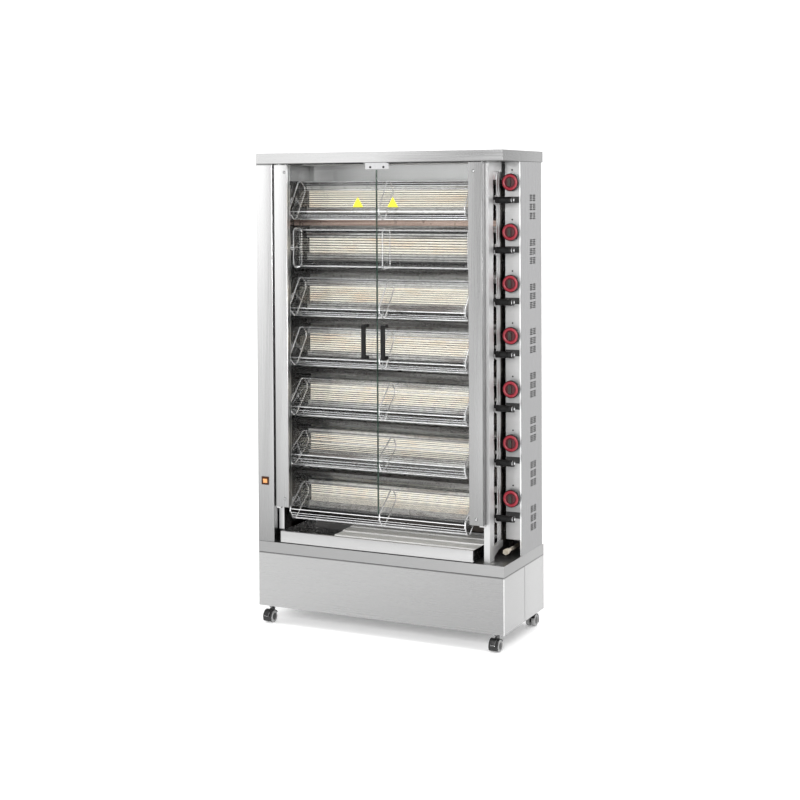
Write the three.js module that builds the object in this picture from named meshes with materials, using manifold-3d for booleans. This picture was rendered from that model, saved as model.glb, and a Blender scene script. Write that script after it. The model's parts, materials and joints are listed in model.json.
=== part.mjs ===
// A floor-standing gas rotisserie oven: seven basket spits in front of seven infrared burners,
// behind two glass doors, on a cabinet with castors. Millimetres, +Z up, the front faces -Y.
// The origin is on the floor, under the middle of the whole oven's box.
import * as THREE from "three";
import { mergeVertices } from "three/addons/utils/BufferGeometryUtils.js";
import Module from "manifold-3d";

const wasm = await Module();
wasm.setup();

// ---------------------------------------------------------------- driving dimensions
const WIDTH = 1120;
const DEPTH = 450;
const HEIGHT = 1990;
const HANDLE_REACH = 28; // how far the door handles stand in front of the body
const INLET_REACH = 18; // how far the gas inlet stands behind the body
const SHEET = 1.5; // sheet metal thickness
const GAP = 0.3; // clearance where two pieces touch

const STAND_Z = 73; // underside of the stand cabinet
const PAN_Z = 303; // underside of the base pan
const FLOOR_Z = 347; // top of the base pan, where the oven body starts
const CAP_Z = 1945; // underside of the top cap

const TIER_HEIGHTS = [1791, 1590, 1382, 1171, 954, 735, 510]; // spit axes, from the top down
const SPIT_BACK = 125; // spit axis, measured back from the front of the body

const COLUMN_WIDTH = 77; // drive column at the left
const DOOR_EDGE_X = 472; // outer edge of each door
const STILE_WIDTH = 60;
const STILE_DEPTH = 28;
const DOOR_BOTTOM_Z = 500;
const GLASS_BACK = 15; // front face of the glass, back from the front of the body
const GLASS_THICK = 6;

const LINER_X = 478; // outside of the cavity walls
const LINER_BACK = 318; // outside of the cavity's back wall
const JAMB_BACK = 35; // front of the fixed front posts
const JAMB_DEPTH = 59; // depth of the left post
const POST_DEPTH = 46; // depth of the right post
const UPRIGHT = 12; // width of the two uprights behind the right post
const CRADLE_THICK = 4;

const HOOD_Z = 1874; // underside of the smoke hood

const REAR_RETURN = 20; // how far the back sheet wraps round each side
const SIDE_RETURN = 7; // front fold of the right side sheet
const SIDE_JOINT = 1.5; // open joint between the side sheets and the back sheet
const LOUVRE_GROUPS = 8; // vents in the right side, three to a group
const LOUVRE_PITCH = 183;
const LOUVRE_TOP_Z = 1811;

const TRAY_LEFT = -452;
const TRAY_RIGHT = 427;
const TRAY_Z = 351;
const TRAY_TOP_Z = 398;
const TRAY_LIP = 12; // depth of the folded front
const COVER_LEFT = -240; // the grease cover leaves the left part of the tray open
const COVER_Z = 381;
const COVER_STEPS = 4;
const COVER_RISE = 4;

const BURNER_LEFT = -462;
const BURNER_RIGHT = 412;
const BURNER_FACE_BACK = 267; // front of the burners, back from the front of the body
const SHIELD_LIP_BACK = 172;

const GAS_X = 525;
const GAS_BACK = 285; // gas pipe and mixing tubes, back from the front of the body
const GAS_Z = 385; // height of the inlet

const DRIVE_Z = 432;
const CHAIN_X = -520;
const SPROCKET_RADIUS = 23;

const BASKET_LEFT = -434;
const BASKET_RIGHT = 376;
const BASKET_HEIGHT = 172;
const BASKET_DEPTH = 76;
const BASKET_CORNER = 15;
const WIRE = 5;
const BASKET_TILTS = [35, 0, 37, 38, 46, 58, 52]; // degrees from upright, top leaning back
const SHAFT_RADIUS = 5;
const SPIT_END_X = 558;
const GRIP_RADIUS = 14;
const GRIP_COLLAR = 11; // length of the collar inside the cradle
const NECK_RADIUS = 7; // the neck of the grip lies in the cradle

const HANDLE_X = 44; // middle of each door handle
const HANDLE_LOW_Z = 1143;
const HANDLE_HIGH_Z = 1286;

const KNOB_X = 520;
const KNOB_RISE = 71; // knob centre above its spit
const KNOB_RADIUS = 36;
const PANEL_BACK = 203; // front of the control panel, back from the front of the body

const SWITCH_X = -525;
const SWITCH_Z = 606;
const SWITCH_SIZE = 34;
const ROCKER_REST = 8; // degrees of tilt in the on position

const WHEEL_RADIUS = 25;
const WHEEL_SIDES = 20;
const CASTOR_X = 516;
const FRONT_CASTOR_INSET = 40; // swivel axis, in from the front; these wheels are turned forward
const BACK_CASTOR_INSET = 45; // swivel axis, in from the back; these wheels trail backward
const CASTOR_TRAIL = 20;

// ---------------------------------------------------------------- derived places
const HALF = WIDTH / 2;
const FRONT = -DEPTH / 2 + (HANDLE_REACH - INLET_REACH) / 2;
const BACK = FRONT + DEPTH;
const SPIT_Y = FRONT + SPIT_BACK;
const PANEL_Y = FRONT + PANEL_BACK;
const LINER_Y = FRONT + LINER_BACK;
const CRADLE_X = LINER_X - 3; // left face of the uprights and cradles
const JAMB_Y = FRONT + JAMB_BACK;
const GLASS_Y = FRONT + GLASS_BACK;
const STILE_BACK_Y = FRONT + STILE_DEPTH;
const SLOT_FRONT = GLASS_Y - 0.4;
const SLOT_BACK = GLASS_Y + GLASS_THICK + 0.4;
const HINGE_X = DOOR_EDGE_X - 6;
const HINGE_Y = FRONT + 14;
const GAS_Y = FRONT + GAS_BACK;
const BODY_TOP_Z = CAP_Z - GAP;
const BODY_BOTTOM_Z = FLOOR_Z + GAP;
const tierZ = (tier) => TIER_HEIGHTS[tier - 1];
const tiers = TIER_HEIGHTS.map((_, i) => i + 1);

// ---------------------------------------------------------------- materials
const metal = (color, roughness) =>
  new THREE.MeshStandardMaterial({ color, roughness, metalness: 1 });
const plain = (color, roughness) =>
  new THREE.MeshStandardMaterial({ color, roughness, metalness: 0 });
const brushedSteel = () => metal(0xc9cbcc, 0.35);
const polishedSteel = () => metal(0xd6d8da, 0.15);
const wireChrome = () => metal(0xdcdee0, 0.12);
const heatedSteel = () => metal(0x8d8b88, 0.4);
const castMetal = () => metal(0x6b6d70, 0.55);
const brassMetal = () => metal(0xb5a26a, 0.3);
const blackPlastic = () => plain(0x18181a, 0.5);
const redPlastic = () => plain(0xb5202c, 0.4);
const greyRubber = () => plain(0x9a9c9d, 0.7);
const amberPlastic = () => plain(0xf08a24, 0.3);
const clearGlass = () =>
  new THREE.MeshStandardMaterial({
    color: 0xdfe8e6, roughness: 0.05, metalness: 0, transparent: true, opacity: 0.3,
  });

// ---------------------------------------------------------------- shape helpers
// A box between two corners.
function block([x0, y0, z0], [x1, y1, z1]) {
  const box = new THREE.BoxGeometry(x1 - x0, y1 - y0, z1 - z0);
  return box.translate((x0 + x1) / 2, (y0 + y1) / 2, (z0 + z1) / 2);
}

// A straight round bar from one point to another.
function bar(from, to, radius, sides = 8) {
  const start = new THREE.Vector3(...from);
  const along = new THREE.Vector3(...to).sub(start);
  const round = new THREE.CylinderGeometry(radius, radius, along.length(), sides);
  const turn = new THREE.Quaternion().setFromUnitVectors(
    new THREE.Vector3(0, 1, 0), along.clone().normalize());
  const middle = start.addScaledVector(along, 0.5);
  return round.applyQuaternion(turn).translate(middle.x, middle.y, middle.z);
}

function outline(points, holes = []) {
  const shape = new THREE.Shape(points.map(([u, v]) => new THREE.Vector2(u, v)));
  for (const hole of holes) {
    shape.holes.push(new THREE.Path(hole.map(([u, v]) => new THREE.Vector2(u, v))));
  }
  return shape;
}

const extrude = (shape, depth) =>
  new THREE.ExtrudeGeometry(shape, { depth, bevelEnabled: false });

// An outline drawn in (y, z) and run along X from x0 to x1.
function alongX(shape, x0, x1) {
  const turn = new THREE.Matrix4().makeBasis(
    new THREE.Vector3(0, 1, 0), new THREE.Vector3(0, 0, 1), new THREE.Vector3(1, 0, 0));
  return extrude(shape, x1 - x0).applyMatrix4(turn).translate(x0, 0, 0);
}

// An outline drawn in (x, y) and run along Z from z0 to z1.
const alongZ = (shape, z0, z1) => extrude(shape, z1 - z0).translate(0, 0, z0);

// A lathe profile of [radius, distance] pairs turned about the line through `at` towards `axis`.
function turned(profile, at, axis, sides = 16) {
  const lathe = new THREE.LatheGeometry(
    profile.map(([r, d]) => new THREE.Vector2(r, d)), sides);
  const turn = new THREE.Quaternion().setFromUnitVectors(
    new THREE.Vector3(0, 1, 0), new THREE.Vector3(...axis));
  return lathe.applyQuaternion(turn).translate(...at);
}

function toSolid(geometry) {
  const bare = (geometry.index ? geometry.toNonIndexed() : geometry.clone());
  bare.deleteAttribute("normal");
  bare.deleteAttribute("uv");
  const merged = mergeVertices(bare, 1e-4);
  return new wasm.Manifold(new wasm.Mesh({
    numProp: 3,
    vertProperties: merged.attributes.position.array,
    triVerts: new Uint32Array(merged.index.array),
  }));
}

function toGeometry(solid) {
  const mesh = solid.getMesh();
  const geometry = new THREE.BufferGeometry();
  geometry.setAttribute("position", new THREE.BufferAttribute(mesh.vertProperties, 3));
  geometry.setIndex(new THREE.BufferAttribute(mesh.triVerts, 1));
  geometry.computeVertexNormals();
  return geometry;
}

const join = (...pieces) =>
  toGeometry(pieces.map(toSolid).reduce((whole, piece) => whole.add(piece)));
const cut = (base, ...tools) =>
  toGeometry(tools.map(toSolid).reduce((rest, tool) => rest.subtract(tool), toSolid(base)));

const mirrorX = (points) => points.map(([x, y]) => [-x, y]).reverse();

const oven = new THREE.Group();
function addPart(name, geometry, material, parent = oven) {
  const mesh = new THREE.Mesh(geometry, material);
  mesh.name = name;
  parent.add(mesh);
  return mesh;
}

// ---------------------------------------------------------------- stand and casing
// An open-topped steel box with a welded pad over each castor.
function standCabinet() {
  const shell = cut(
    block([-HALF, FRONT, STAND_Z], [HALF, BACK, PAN_Z - GAP]),
    block([-HALF + SHEET, FRONT + SHEET, STAND_Z + SHEET], [HALF - SHEET, BACK - SHEET, PAN_Z]));
  const pads = castors.map(({ x, y }) =>
    block([x - 26, y - 26, STAND_Z - 3], [x + 26, y + 26, STAND_Z + 1]));
  return join(shell, ...pads);
}

// The oven's own bottom: a shallow tray turned upside down, with two runners for the drip tray.
function basePan() {
  const pan = cut(
    block([-HALF, FRONT, PAN_Z], [HALF, BACK, FLOOR_Z]),
    block([-HALF + SHEET, FRONT + SHEET, PAN_Z - 1], [HALF - SHEET, BACK - SHEET, FLOOR_Z - SHEET]));
  const runners = [-400, 370].map((x) =>
    block([x, FRONT + 20, FLOOR_Z - 1], [x + 20, LINER_Y - 20, TRAY_Z - GAP]));
  return join(pan, ...runners);
}

// Front and left side of the drive column, folded from one sheet, with the switch cut-out.
function driveColumnCover() {
  const right = -HALF + COLUMN_WIDTH;
  const fold = outline([
    [-HALF, FRONT],
    [right, FRONT],
    [right, FRONT + 30],
    [right - SHEET, FRONT + 30],
    [right - SHEET, FRONT + SHEET],
    [-HALF + SHEET, FRONT + SHEET],
    [-HALF + SHEET, BACK - REAR_RETURN - SIDE_JOINT],
    [-HALF, BACK - REAR_RETURN - SIDE_JOINT],
  ]);
  const half = SWITCH_SIZE / 2 - 4;
  return cut(
    alongZ(fold, BODY_BOTTOM_Z, BODY_TOP_Z),
    block([SWITCH_X - half, FRONT - 5, SWITCH_Z - half], [SWITCH_X + half, FRONT + 5, SWITCH_Z + half]));
}

// Back sheet folded round both back corners, with the gas inlet hole and two rows of vent slots.
function rearPanel() {
  const sheet = alongZ(outline([
    [-HALF, BACK - REAR_RETURN],
    [-HALF + SHEET, BACK - REAR_RETURN],
    [-HALF + SHEET, BACK - SHEET],
    [HALF - SHEET, BACK - SHEET],
    [HALF - SHEET, BACK - REAR_RETURN],
    [HALF, BACK - REAR_RETURN],
    [HALF, BACK],
    [-HALF, BACK],
  ]), BODY_BOTTOM_Z, BODY_TOP_Z);
  const inletHole = bar([GAS_X, BACK - 10, GAS_Z], [GAS_X, BACK + 10, GAS_Z], 15);
  const slots = [];
  for (let column = -2; column <= 2; column += 1) {
    for (const z of [430, 1860]) {
      const x = column * 160;
      slots.push(block([x - 50, BACK - 10, z], [x + 50, BACK + 10, z + 14]));
    }
  }
  return cut(sheet, inletHole, ...slots);
}

// Right side sheet with a narrow front return and groups of three vents, one above the other.
function rightSidePanel() {
  const front = PANEL_Y - 8;
  const back = BACK - REAR_RETURN - SIDE_JOINT;
  const sheet = alongZ(outline([
    [HALF - SIDE_RETURN, front],
    [HALF, front],
    [HALF, back],
    [HALF - SHEET, back],
    [HALF - SHEET, front + SHEET],
    [HALF - SIDE_RETURN, front + SHEET],
  ]), BODY_BOTTOM_Z, BODY_TOP_Z);
  const vents = [];
  for (let group = 0; group < LOUVRE_GROUPS; group += 1) {
    for (let row = 0; row < 3; row += 1) {
      const top = LOUVRE_TOP_Z - group * LOUVRE_PITCH - row * 37;
      vents.push(block([HALF - 5, FRONT + 295, top - 28], [HALF + 5, FRONT + 363, top]));
    }
  }
  return cut(sheet, ...vents);
}

// Polished panel that carries the knobs, with a shaft hole and a pilot sight hole per burner.
function controlPanel() {
  const left = LINER_X + 11;
  const right = HALF - SHEET - GAP;
  const fold = outline([
    [left, PANEL_Y],
    [right, PANEL_Y],
    [right, PANEL_Y + SHEET],
    [left + SHEET, PANEL_Y + SHEET],
    [left + SHEET, PANEL_Y + 30],
    [left, PANEL_Y + 30],
  ]);
  const holes = tiers.flatMap((tier) => {
    const z = tierZ(tier) + KNOB_RISE;
    return [
      bar([KNOB_X, PANEL_Y - 5, z], [KNOB_X, PANEL_Y + 5, z], 7),
      bar([KNOB_X, PANEL_Y - 5, z + 50], [KNOB_X, PANEL_Y + 5, z + 50], 4, 6),
    ];
  });
  return cut(alongZ(fold, 410, BODY_TOP_Z), ...holes);
}

// Lid with a turned-in rim and a pivot pin over each door.
function topCap() {
  const rim = 32;
  const lid = cut(
    block([-HALF, FRONT, CAP_Z], [HALF, BACK, HEIGHT]),
    block([-HALF + SHEET, FRONT + SHEET, CAP_Z + SHEET], [HALF - SHEET, BACK - SHEET, HEIGHT - SHEET]),
    block([-HALF + rim, FRONT + rim, CAP_Z - 1], [HALF - rim, BACK - rim, CAP_Z + SHEET + 1]));
  const pins = [-1, 1].map((side) =>
    bar([side * HINGE_X, HINGE_Y, CAP_Z - 11], [side * HINGE_X, HINGE_Y, CAP_Z + 1], 4));
  return join(lid, ...pins);
}

// ---------------------------------------------------------------- cavity
// Back and side walls in one folded sheet; its left edge is boxed into the left door post.
function cavityLiner() {
  const inner = LINER_X - SHEET;
  const jambBack = JAMB_Y + JAMB_DEPTH;
  const fold = outline([
    [-LINER_X, JAMB_Y],
    [-LINER_X + 24, JAMB_Y],
    [-LINER_X + 24, jambBack],
    [-LINER_X + 22, jambBack],
    [-LINER_X + 22, JAMB_Y + SHEET],
    [-inner, JAMB_Y + SHEET],
    [-inner, LINER_Y - SHEET],
    [inner, LINER_Y - SHEET],
    [inner, PANEL_Y - 25],
    [LINER_X, PANEL_Y - 25],
    [LINER_X, LINER_Y],
    [-LINER_X, LINER_Y],
  ]);
  const holes = tiers.flatMap((tier) => [
    bar([-LINER_X - 5, SPIT_Y, tierZ(tier)], [-inner + 5, SPIT_Y, tierZ(tier)], 9),
    bar([inner - 5, GAS_Y, tierZ(tier) + 12], [LINER_X + 5, GAS_Y, tierZ(tier) + 12], 13),
  ]);
  const walls = cut(alongZ(fold, BODY_BOTTOM_Z, HOOD_Z - GAP), ...holes);
  return join(
    walls,
    block([-LINER_X, JAMB_Y, HOOD_Z - 1], [-LINER_X + 24, JAMB_Y + SHEET, BODY_TOP_Z]),
    pivotBracket(-1));
}

// The lug below each door, with the pin that the door turns on.
function pivotBracket(side) {
  const near = Math.min(side * (LINER_X - 24), side * (LINER_X - 6));
  const far = Math.max(side * (LINER_X - 24), side * (LINER_X - 6));
  return join(
    block([near, HINGE_Y - 8, DOOR_BOTTOM_Z - 6], [far, JAMB_Y + 1, DOOR_BOTTOM_Z - 1]),
    bar([side * HINGE_X, HINGE_Y, DOOR_BOTTOM_Z - 3], [side * HINGE_X, HINGE_Y, DOOR_BOTTOM_Z + 9], 4));
}

// Smoke hood: a tray with no front wall, upside down over the top spit.
function hood() {
  const x = LINER_X - 4;
  return cut(
    block([-x, FRONT + 97, HOOD_Z], [x, LINER_Y - SHEET - 1, CAP_Z - 4]),
    block([-x + SHEET, FRONT, HOOD_Z - 5], [x - SHEET, LINER_Y - 2 * SHEET - 1, CAP_Z - 4 - SHEET]));
}

// The welded frame that carries the spits' right ends: the right door post, the upright with one
// open cradle per spit, a plain upright behind it, and the rails that tie them together.
function supportFrame() {
  const right = LINER_X + 8;
  const barFront = SPIT_Y + 15;
  const postBack = JAMB_Y + POST_DEPTH;
  const post = cut(
    block([right - 25, JAMB_Y, BODY_BOTTOM_Z], [right, postBack, BODY_TOP_Z]),
    block([right - 23, JAMB_Y + SHEET, 0], [right - SHEET, postBack - SHEET, HEIGHT]));
  const plainFront = barFront + UPRIGHT + 8;
  const railBack = PANEL_Y - 28;
  const lowerRail = alongX(outline([
    [postBack - 1, 362],
    [SPIT_Y, 380],
    [railBack, 386],
    [railBack, 412],
    [postBack - 1, 406],
  ]), CRADLE_X, right);
  const upperRail = block(
    [CRADLE_X, postBack - 1, 1905], [right, plainFront + UPRIGHT, BODY_TOP_Z]);
  const cradleRight = CRADLE_X + CRADLE_THICK;
  const uprights = [barFront, plainFront].map((y) =>
    block([CRADLE_X, y, 390], [cradleRight, y + UPRIGHT, 1920]));
  const cradles = tiers.map((tier) => alongX(cradleOutline(tierZ(tier), barFront), CRADLE_X, cradleRight));
  return join(post, lowerRail, upperRail, ...uprights, ...cradles, pivotBracket(1));
}

// A hook that rises from the bar, dips into a round seat under the grip and ends in a lip.
function cradleOutline(z, barFront) {
  const seat = NECK_RADIUS + 1;
  const points = [[barFront + 1, z - 26], [SPIT_Y - 12, z - 15], [SPIT_Y - 12, z + 1]];
  for (let step = 0; step <= 4; step += 1) {
    const angle = Math.PI + (step * Math.PI) / 4;
    points.push([SPIT_Y + seat * Math.cos(angle), z + seat * Math.sin(angle)]);
  }
  points.push([SPIT_Y + 9, z + 9], [barFront + 1, z + 34]);
  return outline(points);
}

// Drawer that catches the fat, open on top, with a folded front.
function dripTray() {
  const back = LINER_Y - 12;
  return cut(
    block([TRAY_LEFT, FRONT, TRAY_Z], [TRAY_RIGHT, back, TRAY_TOP_Z]),
    block(
      [TRAY_LEFT + SHEET, FRONT + TRAY_LIP, TRAY_Z + SHEET],
      [TRAY_RIGHT - SHEET, back - SHEET, TRAY_TOP_Z + 1]),
    block(
      [TRAY_LEFT - 1, FRONT + SHEET, TRAY_Z - 1],
      [TRAY_RIGHT + 1, FRONT + TRAY_LIP - SHEET, TRAY_TOP_Z - SHEET]));
}

// Stepped sheet that lies over the right part of the tray and leads the fat forward.
function greaseCover() {
  const front = FRONT + TRAY_LIP + 1;
  const tread = (LINER_Y - 12 - SHEET - 1 - front) / COVER_STEPS;
  const upper = [];
  const lower = [];
  for (let i = 0; i < COVER_STEPS; i += 1) {
    const z = COVER_Z + i * COVER_RISE;
    const start = front + i * tread;
    const end = start + tread;
    upper.push([start, z], [end, z]);
    lower.push([start + (i > 0 ? SHEET : 0), z - SHEET]);
    lower.push([end + (i < COVER_STEPS - 1 ? SHEET : 0), z - SHEET]);
  }
  return alongX(outline([...lower, ...upper.reverse()]), COVER_LEFT, TRAY_RIGHT - SHEET - 1);
}

// ---------------------------------------------------------------- gas and drive
function gasManifold() {
  const pipes = [
    bar([GAS_X, GAS_Y, GAS_Z - 13], [GAS_X, GAS_Y, tierZ(1) + KNOB_RISE + 20], 11),
    bar([GAS_X, GAS_Y - 1, GAS_Z], [GAS_X, BACK + INLET_REACH, GAS_Z], 10),
    bar([GAS_X, GAS_Y, GAS_Z - 5], [GAS_X, SPIT_Y - 5, GAS_Z - 5], 8),
    bar([GAS_X, SPIT_Y - 20, GAS_Z - 5], [GAS_X, SPIT_Y - 4, GAS_Z - 5], 13, 6),
  ];
  for (const tier of tiers) {
    const z = tierZ(tier) + KNOB_RISE;
    const jetZ = tierZ(tier) + 12;
    pipes.push(bar([KNOB_X, GAS_Y, z], [KNOB_X, PANEL_Y + 13, z], 9, 8));
    pipes.push(bar([GAS_X, GAS_Y, jetZ], [GAS_X - 20, GAS_Y, jetZ], 5, 8));
  }
  const solid = join(...pipes);
  return cut(solid, bar([GAS_X, BACK - 20, GAS_Z], [GAS_X, BACK + 30, GAS_Z], 6));
}

// Geared motor on a foot, with the output shaft and its sprocket.
function driveMotor() {
  return join(
    block([-556, SPIT_Y - 38, 385], [-528, SPIT_Y + 38, 480]),
    block([-556, SPIT_Y - 38, BODY_BOTTOM_Z], [-551, SPIT_Y + 60, 386]),
    block([-556, SPIT_Y - 38, BODY_BOTTOM_Z], [-505, SPIT_Y + 60, FLOOR_Z + 4]),
    bar([-540, SPIT_Y + 36, DRIVE_Z + 8], [-540, SPIT_Y + 150, DRIVE_Z + 8], 15, 16),
    bar([-530, SPIT_Y, DRIVE_Z], [CHAIN_X + 12, SPIT_Y, DRIVE_Z], 7),
    sprocket(CHAIN_X - 3, CHAIN_X + 3, SPIT_Y, DRIVE_Z));
}

// A toothed wheel for the drive chain.
function sprocket(x0, x1, y, z) {
  const teeth = 8;
  const points = [];
  for (let tooth = 0; tooth < teeth; tooth += 1) {
    for (const [part, radius] of [[0, 18], [0.4, SPROCKET_RADIUS], [0.7, SPROCKET_RADIUS]]) {
      const angle = ((tooth + part) / teeth) * 2 * Math.PI;
      points.push([y + radius * Math.cos(angle), z + radius * Math.sin(angle)]);
    }
  }
  return alongX(outline(points), x0, x1);
}

// The chain as one closed loop: the driven strand runs behind the sprockets, the return in front.
function driveChain() {
  const back = SPIT_Y + SPROCKET_RADIUS + 2;
  const front = SPIT_Y - SPROCKET_RADIUS - 14;
  const top = tierZ(1);
  const loop = (grow) => {
    const radius = (back - front) / 2 + grow;
    const middle = (back + front) / 2;
    const points = [];
    for (let step = 0; step <= 8; step += 1) {
      const angle = (step * Math.PI) / 8;
      points.push([middle + radius * Math.cos(angle), top + radius * Math.sin(angle)]);
    }
    for (let step = 0; step <= 8; step += 1) {
      const angle = Math.PI + (step * Math.PI) / 8;
      points.push([middle + radius * Math.cos(angle), DRIVE_Z + radius * Math.sin(angle)]);
    }
    return points;
  };
  return alongX(outline(loop(6), [loop(0).reverse()]), CHAIN_X - 3, CHAIN_X + 3);
}

// A burner: housing with a shallow window for the ceramic plaques, its mixing tube through the
// right wall, and above it (under the spit above) a shield that keeps dripping fat off the ceramic.
function burner(tier) {
  const z = tierZ(tier);
  const face = FRONT + BURNER_FACE_BACK;
  const back = LINER_Y - SHEET - 1;
  const window = block([-457, face - 1, z - 26], [407, face + 4, z + 49]);
  const housing = cut(block([BURNER_LEFT, face, z - 40], [BURNER_RIGHT, back, z + 62]), window);
  const tube = bar([BURNER_RIGHT - 4, GAS_Y, z + 12], [500, GAS_Y, z + 12], 10);
  if (tier === 1) {
    return join(housing, tube);
  }
  const lip = FRONT + SHIELD_LIP_BACK;
  const shield = alongX(outline([
    [lip, z + 94],
    [lip + SHEET, z + 94],
    [lip + SHEET, z + 115],
    [back - SHEET, z + 120],
    [back - SHEET, z + 60],
    [back, z + 60],
    [back, z + 122],
    [lip, z + 117],
  ]), -LINER_X + SHEET + 2, LINER_X - SHEET - 2);
  return join(housing, tube, shield);
}

// ---------------------------------------------------------------- doors

// Hinge-side stile: a folded channel closed at both ends, with a slot that grips the glass.
function doorStile(side) {
  const inner = DOOR_EDGE_X - STILE_WIDTH;
  const right = [
    [inner, FRONT],
    [DOOR_EDGE_X, FRONT],
    [DOOR_EDGE_X, STILE_BACK_Y],
    [inner, STILE_BACK_Y],
    [inner, SLOT_BACK],
    [inner + SHEET, SLOT_BACK],
    [inner + SHEET, STILE_BACK_Y - SHEET],
    [DOOR_EDGE_X - SHEET, STILE_BACK_Y - SHEET],
    [DOOR_EDGE_X - SHEET, FRONT + SHEET],
    [inner + SHEET, FRONT + SHEET],
    [inner + SHEET, SLOT_FRONT],
    [inner, SLOT_FRONT],
  ];
  const section = side > 0 ? right : mirrorX(right);
  const top = CAP_Z - 3;
  const ends = [DOOR_BOTTOM_Z, top - 3].map((z) => {
    const near = Math.min(side * (DOOR_EDGE_X - 20), side * DOOR_EDGE_X);
    const far = Math.max(side * (DOOR_EDGE_X - 20), side * DOOR_EDGE_X);
    return block([near, FRONT, z], [far, STILE_BACK_Y, z + 3]);
  });
  const channel = join(alongZ(outline(section), DOOR_BOTTOM_Z, top), ...ends);
  return cut(
    channel, bar([side * HINGE_X, HINGE_Y, 400], [side * HINGE_X, HINGE_Y, HEIGHT], 4.5));
}

// One sheet of toughened glass per door.
function doorGlass(side) {
  const meet = side * 1.5;
  const outer = side * (DOOR_EDGE_X - STILE_WIDTH + 28);
  return block(
    [Math.min(meet, outer), GLASS_Y, DOOR_BOTTOM_Z + 4],
    [Math.max(meet, outer), GLASS_Y + GLASS_THICK, CAP_Z - 29]);
}

// Bow handle whose two feet stand on the glass.
function doorHandle(side) {
  const thick = 14;
  const foot = GLASS_Y - GAP;
  const face = FRONT - HANDLE_REACH;
  const bow = outline([
    [foot, HANDLE_LOW_Z],
    [foot, HANDLE_LOW_Z + thick],
    [face + thick, HANDLE_LOW_Z + thick],
    [face + thick, HANDLE_HIGH_Z - thick],
    [foot, HANDLE_HIGH_Z - thick],
    [foot, HANDLE_HIGH_Z],
    [face + 6, HANDLE_HIGH_Z],
    [face, HANDLE_HIGH_Z - 6],
    [face, HANDLE_LOW_Z + 6],
    [face + 6, HANDLE_LOW_Z],
  ].reverse());
  return alongX(bow, side * HANDLE_X - 8, side * HANDLE_X + 8);
}

// Magnet plate over the meeting edges of the two doors.
function doorCatch() {
  return join(
    block([-53, FRONT + 21, CAP_Z - 26], [53, FRONT + 24, CAP_Z - GAP]),
    block([-53, FRONT + 4, CAP_Z - 2.5], [53, FRONT + 24, CAP_Z - GAP]));
}

// ---------------------------------------------------------------- spits
// Basket spit about its own axis: three corner-cut frames joined by long wires, a shaft stub at
// each end, the drive collar and the sprocket at the left.
function spitBasket() {
  const halfZ = BASKET_HEIGHT / 2;
  const halfY = BASKET_DEPTH / 2;
  const ring = (grow) => {
    const y = halfY + grow;
    const z = halfZ + grow;
    const c = BASKET_CORNER + grow * 0.4;
    return [
      [y - c, -z], [y, -z + c], [y, z - c], [y - c, z],
      [-y + c, z], [-y, z - c], [-y, -z + c], [-y + c, -z],
    ];
  };
  const frames = [BASKET_LEFT, (BASKET_LEFT + BASKET_RIGHT) / 2, BASKET_RIGHT - WIRE].map((x) =>
    alongX(outline(ring(0), [ring(-WIRE).reverse()]), x, x + WIRE));
  const inset = WIRE / 2;
  const thin = inset - 0.5;
  const longWire = (y, z) => block(
    [BASKET_LEFT + 1, y - thin, z - thin], [BASKET_RIGHT - 1, y + thin, z + thin]);
  const wires = [longWire(0, -halfZ + inset), longWire(0, halfZ - inset)];
  for (const y of [-halfY + inset, halfY - inset]) {
    wires.push(longWire(y, -45), longWire(y, 45));
  }
  const cross = [BASKET_LEFT, BASKET_RIGHT - WIRE].map((x) =>
    block([x + 0.5, -halfY + inset, -8], [x + WIRE - 0.5, halfY - inset, 8]));
  const shafts = [
    bar([CHAIN_X - 6, 0, 0], [BASKET_LEFT + 2, 0, 0], SHAFT_RADIUS),
    bar([BASKET_RIGHT - 2, 0, 0], [SPIT_END_X, 0, 0], SHAFT_RADIUS),
    bar([-LINER_X + 4, 0, 0], [-LINER_X + 22, 0, 0], 14, 12),
    sprocket(CHAIN_X - 3, CHAIN_X + 3, 0, 0),
  ];
  return join(...frames, ...wires, ...cross, ...shafts);
}

// Heat-proof grip pushed over the right end of the shaft: a collar, a neck that lies in the
// cradle, and the part the hand holds.
function spitHandle() {
  const bore = SHAFT_RADIUS + 0.4;
  const neckLeft = CRADLE_X - 0.8;
  const neckRight = CRADLE_X + CRADLE_THICK + 0.8;
  const left = neckLeft - GRIP_COLLAR;
  const right = SPIT_END_X - 2;
  const profile = [
    [bore, left],
    [GRIP_RADIUS, left],
    [GRIP_RADIUS, neckLeft],
    [NECK_RADIUS, neckLeft],
    [NECK_RADIUS, neckRight],
    [GRIP_RADIUS, neckRight],
    [GRIP_RADIUS, right],
    [bore, right],
    [bore, left],
  ];
  return turned(profile, [0, 0, 0], [1, 0, 0], 12);
}

// ---------------------------------------------------------------- controls
// Knob about its own axis, which points at the user: skirt, raised disc, grip bar and stem.
function burnerKnob() {
  const body = turned([
    [0, -26], [4, -26], [4, 0], [KNOB_RADIUS, 0], [KNOB_RADIUS, 12], [KNOB_RADIUS - 3, 15], [0, 15],
  ], [0, 0, 0], [0, -1, 0]);
  return join(body, block([-6, -24, -16], [6, -11, 16]));
}

function switchFrame() {
  const half = SWITCH_SIZE / 2;
  const plug = half - 4 - GAP;
  const hole = plug - 2;
  return cut(
    join(
      block([SWITCH_X - half, FRONT - 3, SWITCH_Z - half], [SWITCH_X + half, FRONT - GAP, SWITCH_Z + half]),
      block([SWITCH_X - plug, FRONT - 1, SWITCH_Z - plug], [SWITCH_X + plug, FRONT + 20, SWITCH_Z + plug])),
    block([SWITCH_X - hole, FRONT - 9, SWITCH_Z - hole], [SWITCH_X + hole, FRONT + 18, SWITCH_Z + hole]));
}

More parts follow.
